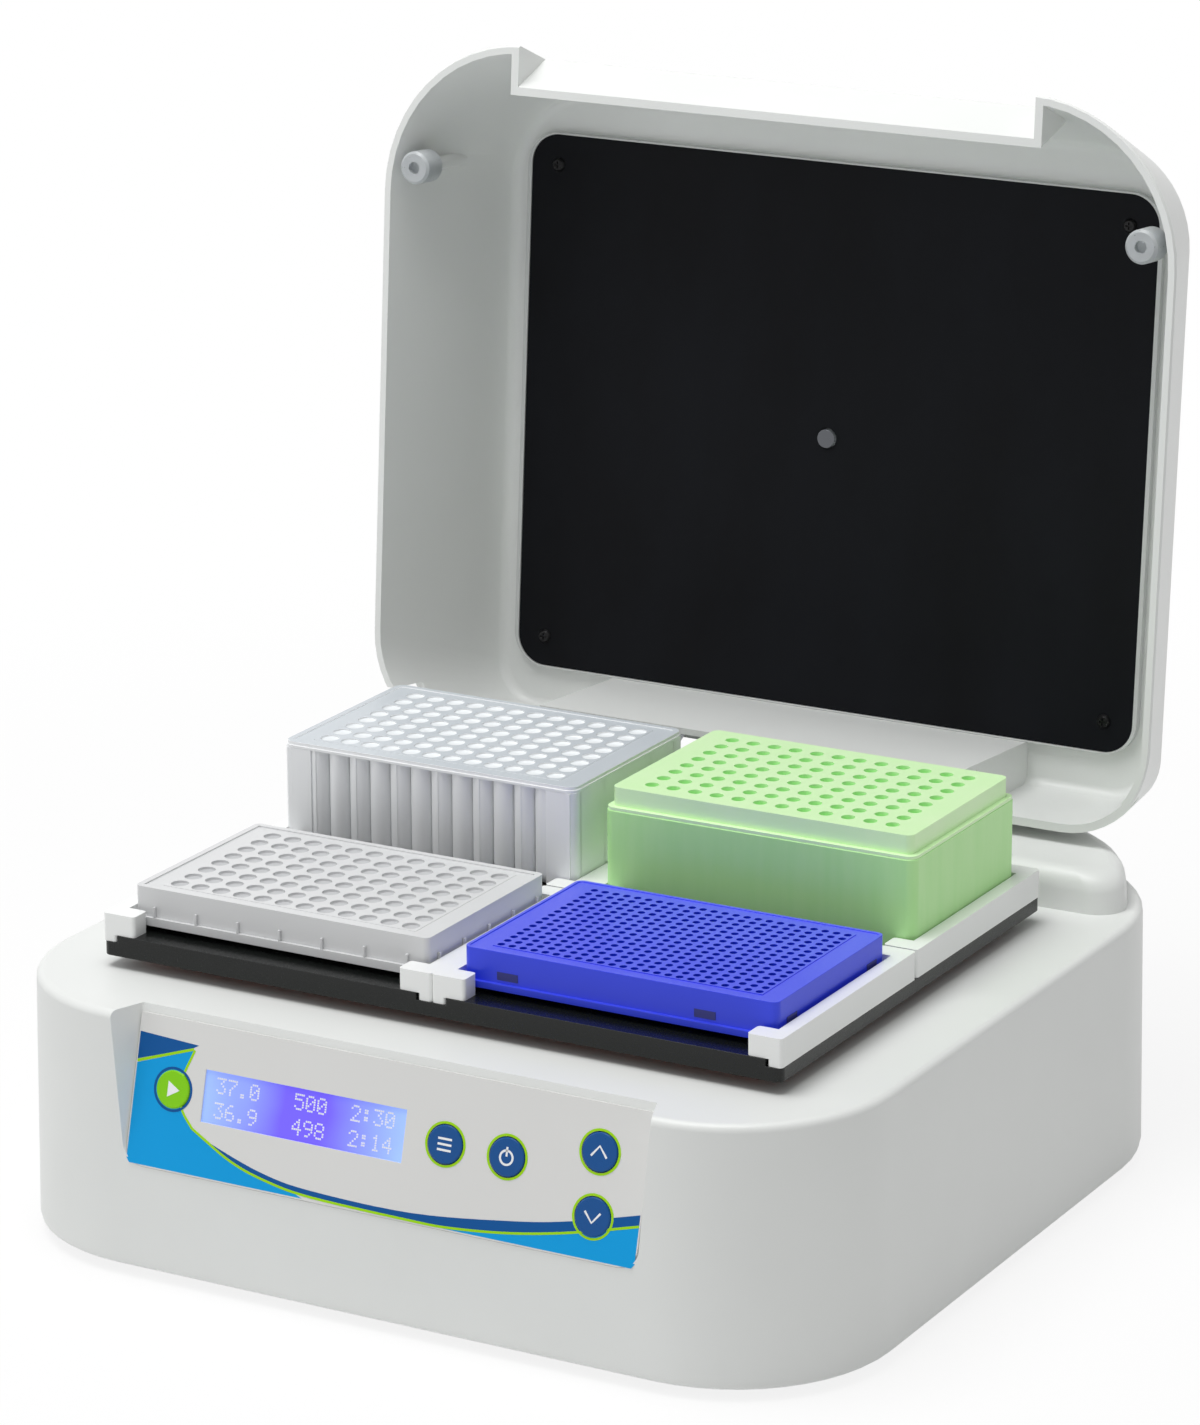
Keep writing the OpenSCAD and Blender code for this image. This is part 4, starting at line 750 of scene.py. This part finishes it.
def well_sheet(columns, rows, pitch, radius, depth, centre, top, sides, skirt):
    """A sheet of round wells: one cell is shaped and then repeated both ways."""
    half = pitch / 2 * MM
    step = 2 * math.pi / sides
    deselect()
    bpy.ops.mesh.primitive_circle_add(vertices=sides, radius=half, fill_type="NGON")
    cell = bpy.context.object
    for i, vertex in enumerate(cell.data.vertices):
        way = Vector((math.cos((i + 0.5) * step), math.sin((i + 0.5) * step), 0))
        vertex.co = way * half / max(abs(way.x), abs(way.y))
    edit(cell)
    bpy.ops.mesh.select_all(action="SELECT")
    bpy.ops.mesh.inset(thickness=0.04 * half)
    leave()
    for vertex in cell.data.vertices:
        if max(abs(vertex.co.x), abs(vertex.co.y)) < 0.99 * half:
            turn = (round(math.atan2(vertex.co.y, vertex.co.x) / step - 0.5) + 0.5) * step
            vertex.co = Vector((math.cos(turn), math.sin(turn), 0)) * radius * MM
    bpy.ops.object.mode_set(mode="EDIT")
    rise(-depth * MM)
    bpy.ops.mesh.inset(thickness=0.18 * radius * MM, depth=-0.12 * radius * MM)
    leave()
    repeat(cell, pitch, columns, rows, weld=True)
    edit(cell, "EDGE")
    open_edges()
    rise(-skirt * MM)
    leave()
    face_out(cell)
    corner = Vector((centre.x - (columns - 1) / 2 * pitch * MM, centre.y - (rows - 1) / 2 * pitch * MM, top))
    cell.data.transform(Matrix.Translation(corner))
    return cell


def plate_body(low, high, flange, step, corner, rim, sunk, edge):
    """A plate's outside: a lower flange, a straight wall and a rim round a sunk, open field."""
    deselect()
    bpy.ops.mesh.primitive_cube_add(size=1)
    outside = bpy.context.object
    size = high - low
    outside.data.transform(Matrix.Diagonal((size.x, size.y, flange * MM, 1)))
    outside.data.transform(Matrix.Translation(((low.x + high.x) / 2, (low.y + high.y) / 2,
                                                low.z + flange / 2 * MM)))
    ends = outside.data.vertices
    pick(outside, lambda e: abs(ends[e.vertices[0]].co.z - ends[e.vertices[1]].co.z) > flange / 2 * MM, "EDGE")
    bpy.ops.mesh.bevel(offset=corner * MM, segments=5, affect="EDGES")
    leave()
    pick(outside, lambda f: f.normal.z > 0.9)
    bpy.ops.mesh.inset(thickness=step * MM)
    rise(size.z - flange * MM)
    bpy.ops.mesh.inset(thickness=rim * MM)
    rise(-sunk * MM)
    bpy.ops.mesh.inset(thickness=1 * MM)
    leave()
    middle = (low + high) / 2
    for vertex in outside.data.vertices:
        if vertex.select:
            for axis in (0, 1):
                off = vertex.co[axis] - middle[axis]
                reach = (FIELD[axis] - 0.2) * MM
                vertex.co[axis] = middle[axis] + math.copysign(min(abs(off), reach), off)
    bpy.ops.object.mode_set(mode="EDIT")
    bpy.ops.mesh.delete(type="ONLY_FACE")
    bpy.ops.mesh.select_all(action="SELECT")
    bpy.ops.mesh.remove_doubles(threshold=0.01 * MM)
    leave()
    face_out(outside)
    round_edges(outside, edge * MM, 3, 50)
    return outside


def in_field(face, middle, more=0):
    """Whether a face lies within the field of wells, or as many millimetres round it."""
    return (abs(face.center.x - middle.x) < (FIELD[0] + more) * MM
            and abs(face.center.y - middle.y) < (FIELD[1] + more) * MM)


def low_plate():
    """Front left plate: a low grey block with shallow round wells and ribs round its flange."""
    low, high = (Vector(p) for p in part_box("low_plate"))
    middle = (low + high) / 2
    outside = plate_body(low, high, flange=3.2, step=1.2, corner=3.5, rim=2.4, sunk=0.5, edge=0.5)
    wells = well_sheet(12, 8, WELL_PITCH, 3.35, 0.9, middle, high.z - 0.35 * MM, sides=20, skirt=0.3)
    # Ribs stand on the flange, seven along each long side and five along each end
    thick, deep, tall = 0.9, 1.1, 4.4
    at, inset = low.z + 5.2 * MM, 0.6 * MM
    ribs = [block(low.x + (10 + i * 18) * MM, y, at, thick, deep, tall)
            for y in (low.y + inset, high.y - inset) for i in range(7)]
    ribs += [block(x, low.y + (8 + i * 17.4) * MM, at, deep, thick, tall)
             for x in (low.x + inset, high.x - inset) for i in range(5)]
    plate = joined([outside, wells, *ribs])
    smooth(plate)
    plate.name = "low_plate_piece"
    hand_over(plate, "low_plate")
    # The well floors take a darker grey: painted shade
    tint(plate, "grey_well_painted_shade", lambda f: f.normal.z > 0.3 and 0.8 * MM < high.z - f.center.z < 2 * MM
         and in_field(f, middle))


def block(x, y, z, sx, sy, sz):
    """A small rounded block, centred, with its sides in millimetres."""
    deselect()
    bpy.ops.mesh.primitive_cube_add(size=1)
    made = bpy.context.object
    made.data.transform(Matrix.Diagonal((sx * MM, sy * MM, sz * MM, 1)))
    made.data.transform(Matrix.Translation((x, y, z)))
    round_edges(made, 0.18 * min(sx, sy, sz) * MM, 2)
    return made


def blue_plate():
    """Front right plate: a blue block with 24 by 16 small round wells, and dark patches of painted shade for the
    clip windows in its sides.
    """
    low, high = (Vector(p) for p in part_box("small_well_plate"))
    middle = (low + high) / 2
    outside = plate_body(low, high, flange=2.6, step=1.1, corner=4.0, rim=1.4, sunk=0.4, edge=0.4)
    wells = well_sheet(24, 16, SMALL_WELL_PITCH, 1.45, 4.5, middle, high.z - 0.12 * MM, sides=12, skirt=0.3)
    plate = joined([outside, wells])
    smooth(plate)
    plate.name = "small_well_plate_piece"
    hand_over(plate, "small_well_plate")
    # The top faces take a paler blue: painted sheen
    tint(plate, "blue_top_painted_sheen", lambda f: f.normal.z > 0.9 and high.z - f.center.z < 0.6 * MM)
    # The well walls and floors take a darker, fuller blue: painted shade
    tint(plate, "blue_well_painted_shade", lambda f: 1 * MM < high.z - f.center.z < 6 * MM and in_field(f, middle, 1))
    size = high - low
    # Thin dark blocks on the sides stand for the clip windows: painted shade
    window_shades = [block(low.x + share * size.x, low.y + 1.05 * MM, low.z + 5.4 * MM, 8.5, 0.3, 3.0)
             for share in (0.15, 0.77)]
    window_shades += [block(high.x - 1.05 * MM, low.y + share * size.y, low.z + 5.4 * MM, 0.3, 7.5, 3.2)
              for share in (0.14, 0.86)]
    attach(joined(window_shades), "blue_plate_window_shades", SLOTS["small_well_plate"], body("small_well_plate"), "blue_window_painted_shade")


def tubes(columns, rows, pitch, radius, height, first):
    """Round-bottomed tubes side by side: one is shaped from a ball and repeated both ways."""
    deselect()
    bpy.ops.mesh.primitive_uv_sphere_add(segments=20, ring_count=10, radius=radius * MM)
    tube = bpy.context.object
    edit(tube)
    bpy.ops.mesh.select_all(action="SELECT")
    bpy.ops.mesh.bisect(plane_co=(0, 0, 0.01 * MM), plane_no=(0, 0, 1), clear_outer=True)
    open_edges()
    rise((height - radius) * MM)
    bpy.ops.mesh.edge_face_add()
    leave()
    face_out(tube)
    repeat(tube, pitch, columns, rows)
    tube.data.transform(Matrix.Translation(first))
    return tube


def curtain(low, high, top, corner, thick):
    """The end walls of the deep plate with their rounded corners, open at front and back."""
    deselect()
    bpy.ops.mesh.primitive_cube_add(size=1)
    walls = bpy.context.object
    size = Vector((high.x - low.x, high.y - low.y, top - low.z))
    walls.data.transform(Matrix.Diagonal((*size, 1)))
    walls.data.transform(Matrix.Translation((low + Vector((high.x, high.y, top))) / 2))
    ends = walls.data.vertices
    pick(walls, lambda e: abs(ends[e.vertices[0]].co.z - ends[e.vertices[1]].co.z) > size.z / 2, "EDGE")
    bpy.ops.mesh.bevel(offset=corner * MM, segments=5, affect="EDGES")
    leave()
    pick(walls, lambda f: abs(f.normal.y) > 0.99 or abs(f.normal.z) > 0.5)
    bpy.ops.mesh.delete(type="FACE")
    leave()
    wall = walls.modifiers.new("wall", "SOLIDIFY")
    wall.thickness = thick * MM
    wall.offset = -1
    bpy.ops.object.modifier_apply(modifier=wall.name)
    return walls


def deep_plate():
    """Rear left plate: frosted, with round-bottomed tubes, ribs on every second one and a flat top."""
    low, high = (Vector(p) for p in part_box("deep_well_plate"))
    middle = (low + high) / 2
    slab, pitch, radius, clear = 2.4, WELL_PITCH, 4.45, 1.2
    under = high.z - slab * MM
    first = Vector((middle.x - 5.5 * pitch * MM, low.y + (radius + 0.25) * MM, low.z + (radius + clear) * MM))
    tall = (under - low.z) / MM
    into_slab = 0.2
    parts = [plate_body(Vector((low.x, low.y, under)), high, flange=1.1, step=0.4, corner=4.5, rim=2.5, sunk=0.25,
                        edge=0.3),
             well_sheet(12, 8, pitch, 3.6, 0.5, middle, high.z - 0.08 * MM, sides=20, skirt=0.3),
             tubes(12, 9, pitch, radius, tall - clear + into_slab, first),
             curtain(low, high, under, corner=4.0, thick=1.1)]
    # A flat post at each corner
    for x in (low.x + 7.3 * MM, high.x - 7.3 * MM):
        for y in (low.y + 0.6 * MM, high.y - 0.6 * MM):
            parts.append(block(x, y, low.z + tall / 2 * MM, 10.4, 1.1, tall))
    # Thin ribs down every second tube, short of the round bottoms at the front and back
    rib, bare = 0.8, 2.5
    for i in range(0, 12, 2):
        for y in (low.y + 0.35 * MM, high.y - 0.35 * MM):
            parts.append(block(first.x + i * pitch * MM, y, low.z + (tall + clear + bare) / 2 * MM, rib, 0.7,
                               tall - clear - bare))
    for i in range(0, 9, 2):
        parts.append(block(high.x - 0.2 * MM, first.y + i * pitch * MM, low.z + tall / 2 * MM, 0.4, rib, tall))
    plate = joined(parts)
    smooth(plate)
    plate.name = "deep_well_plate_piece"
    hand_over(plate, "deep_well_plate")
    # The top faces take a greyer tone: painted shade
    tint(plate, "frosted_top_painted_shade", lambda f: f.normal.z > 0.9 and high.z - f.center.z < 0.45 * MM)
    # The well mouths take a whiter tone: painted light
    tint(plate, "frosted_well_painted_light", lambda f: f.normal.z > 0.3 and 0.45 * MM < high.z - f.center.z < 2 * MM
         and in_field(f, middle))


def rack_hole_shade_sheet():
    """A deep green sheet under the rack deck's holes: painted shade that shows through them."""
    low, high = (Vector(p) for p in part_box("tube_rack_deck"))
    middle = (low + high) / 2
    sheet = block(middle.x, middle.y, high.z - 2.6 * MM, 105, 69, 0.5)
    attach(sheet, "rack_hole_shade_sheet", SLOTS["tube_rack_deck"], body("tube_rack_deck"), "rack_hole_painted_shade")


class INCUBATOR_OT_plates(bpy.types.Operator):
    """The three plates and the tube rack"""
    bl_idname = "incubator.plates"
    bl_label = "Plates"

    def execute(self, context):
        low_plate()
        blue_plate()
        deep_plate()
        rack_hole_shade_sheet()
        dress("tube_rack_base", RACK_EDGE, 3)
        dress("tube_rack_deck", DECK_EDGE)
        return {"FINISHED"}


class INCUBATOR_OT_studio(bpy.types.Operator):
    """Pale floor, soft lamps, white surround and the camera"""
    bl_idname = "incubator.studio"
    bl_label = "Studio"

    def execute(self, context):
        floor()
        surround()
        lamps()
        camera()
        return {"FINISHED"}


def seen_ray(tree):
    """1 for rays from the camera, and those that metal or glass sends on."""
    path = add(tree, "ShaderNodeLightPath")
    first = add(tree, "ShaderNodeMath", {0: path.outputs["Is Camera Ray"], 1: path.outputs["Is Glossy Ray"]},
                operation="MAXIMUM")
    return add(tree, "ShaderNodeMath", {0: first.outputs[0], 1: path.outputs["Is Transmission Ray"]},
               operation="MAXIMUM").outputs[0]


def floor():
    """Matt white paper that shows as white and keeps a faint shadow."""
    deselect()
    bpy.ops.mesh.primitive_plane_add(size=30)
    paper = bpy.context.object
    paper.name = "studio_floor"
    made = bpy.data.materials.new("studio_paper")
    made.use_nodes = True
    tree = made.node_tree
    tree.nodes.clear()
    matt = add(tree, "ShaderNodeBsdfDiffuse", {"Color": linear("#F6F6F6")})
    glow = add(tree, "ShaderNodeEmission", {"Color": linear("#FFFFFF"), "Strength": 1.0})
    place = add(tree, "ShaderNodeTexCoord").outputs["Object"]
    away = add(tree, "ShaderNodeVectorMath", {0: place}, operation="LENGTH").outputs["Value"]
    glow_share = add(tree, "ShaderNodeMapRange", {"Value": away, "From Min": GLOW_FROM, "From Max": GLOW_TO,
                                                   "To Min": FLOOR_GLOW, "To Max": 1.0},
                     interpolation_type="SMOOTHSTEP")
    share = add(tree, "ShaderNodeMath", {0: seen_ray(tree), 1: glow_share.outputs[0]}, operation="MULTIPLY")
    both = add(tree, "ShaderNodeMixShader", {0: share.outputs[0], 1: matt.outputs[0], 2: glow.outputs[0]})
    add(tree, "ShaderNodeOutputMaterial", {"Surface": both.outputs[0]})
    paper.data.materials.append(made)


def surround():
    """Even soft light from all round, white where it is seen."""
    world = bpy.data.worlds.new("studio_surround")
    bpy.context.scene.world = world
    world.use_nodes = True
    tree = world.node_tree
    tree.nodes.clear()
    level = add(tree, "ShaderNodeMapRange", {"Value": seen_ray(tree), "To Min": SURROUND, "To Max": 1.0})
    back = add(tree, "ShaderNodeBackground", {"Color": linear("#FFFFFF"), "Strength": level.outputs[0]})
    add(tree, "ShaderNodeOutputWorld", {"Surface": back.outputs[0]})


def lamps():
    """A wide soft box overhead and a weaker one at the left."""
    for name, (at, size, power) in LAMPS.items():
        deselect()
        bpy.ops.object.light_add(type="AREA", location=at)
        lamp = bpy.context.object
        lamp.name = "lamp_" + name
        lamp.data.size = size
        lamp.data.energy = power
        lamp.rotation_euler = (LAMP_AIM - Vector(at)).to_track_quat("-Z", "Y").to_euler()


def camera():
    """The photograph's viewpoint: 29 degrees to the right and 17 above, on a long lens."""
    deselect()
    bpy.ops.object.camera_add(location=CAMERA_AT)
    cam = bpy.context.object
    cam.name = "photo_camera"
    cam.rotation_euler = Euler([math.radians(turn) for turn in CAMERA_TURN])
    cam.data.sensor_width = SENSOR
    cam.data.lens = SENSOR * FOCAL / PHOTO_HEIGHT
    cam.data.shift_x, cam.data.shift_y = (off / PHOTO_HEIGHT for off in OFF_AXIS)
    cam.data.clip_end = 50
    bpy.context.scene.camera = cam
    bpy.context.scene.view_settings.view_transform = "Standard"


class INCUBATOR_PT_sidebar(bpy.types.Panel):
    """Lists the incubator's sizes, colours and pieces"""
    bl_idname = "INCUBATOR_PT_sidebar"
    bl_label = "Incubator"
    bl_space_type = "VIEW_3D"
    bl_region_type = "UI"
    bl_category = "Incubator"

    def draw(self, context):
        for group in (sizes(), colours()):
            for name in group.bl_rna.properties.keys():
                if name not in ("rna_type", "name"):
                    self.layout.prop(group, name)
        for operator in OPERATORS:
            self.layout.operator(operator.bl_idname)


OPERATORS = (INCUBATOR_OT_casing, INCUBATOR_OT_panel, INCUBATOR_OT_drive, INCUBATOR_OT_tray, INCUBATOR_OT_mains,
             INCUBATOR_OT_hinge, INCUBATOR_OT_lid, INCUBATOR_OT_plates, INCUBATOR_OT_studio)
CLASSES = (IncubatorSizes, IncubatorColours, *OPERATORS, INCUBATOR_PT_sidebar)


def register():
    for cls in CLASSES:
        bpy.utils.register_class(cls)
    bpy.types.Scene.incubator_sizes = bpy.props.PointerProperty(type=IncubatorSizes)
    bpy.types.Scene.incubator_colours = bpy.props.PointerProperty(type=IncubatorColours)


def unregister():
    del bpy.types.Scene.incubator_colours
    del bpy.types.Scene.incubator_sizes
    for cls in reversed(CLASSES):
        bpy.utils.unregister_class(cls)


def main():
    register()
    for operator in OPERATORS:
        group, name = operator.bl_idname.split(".")
        getattr(getattr(bpy.ops, group), name)()


if __name__ == "__main__":
    main()
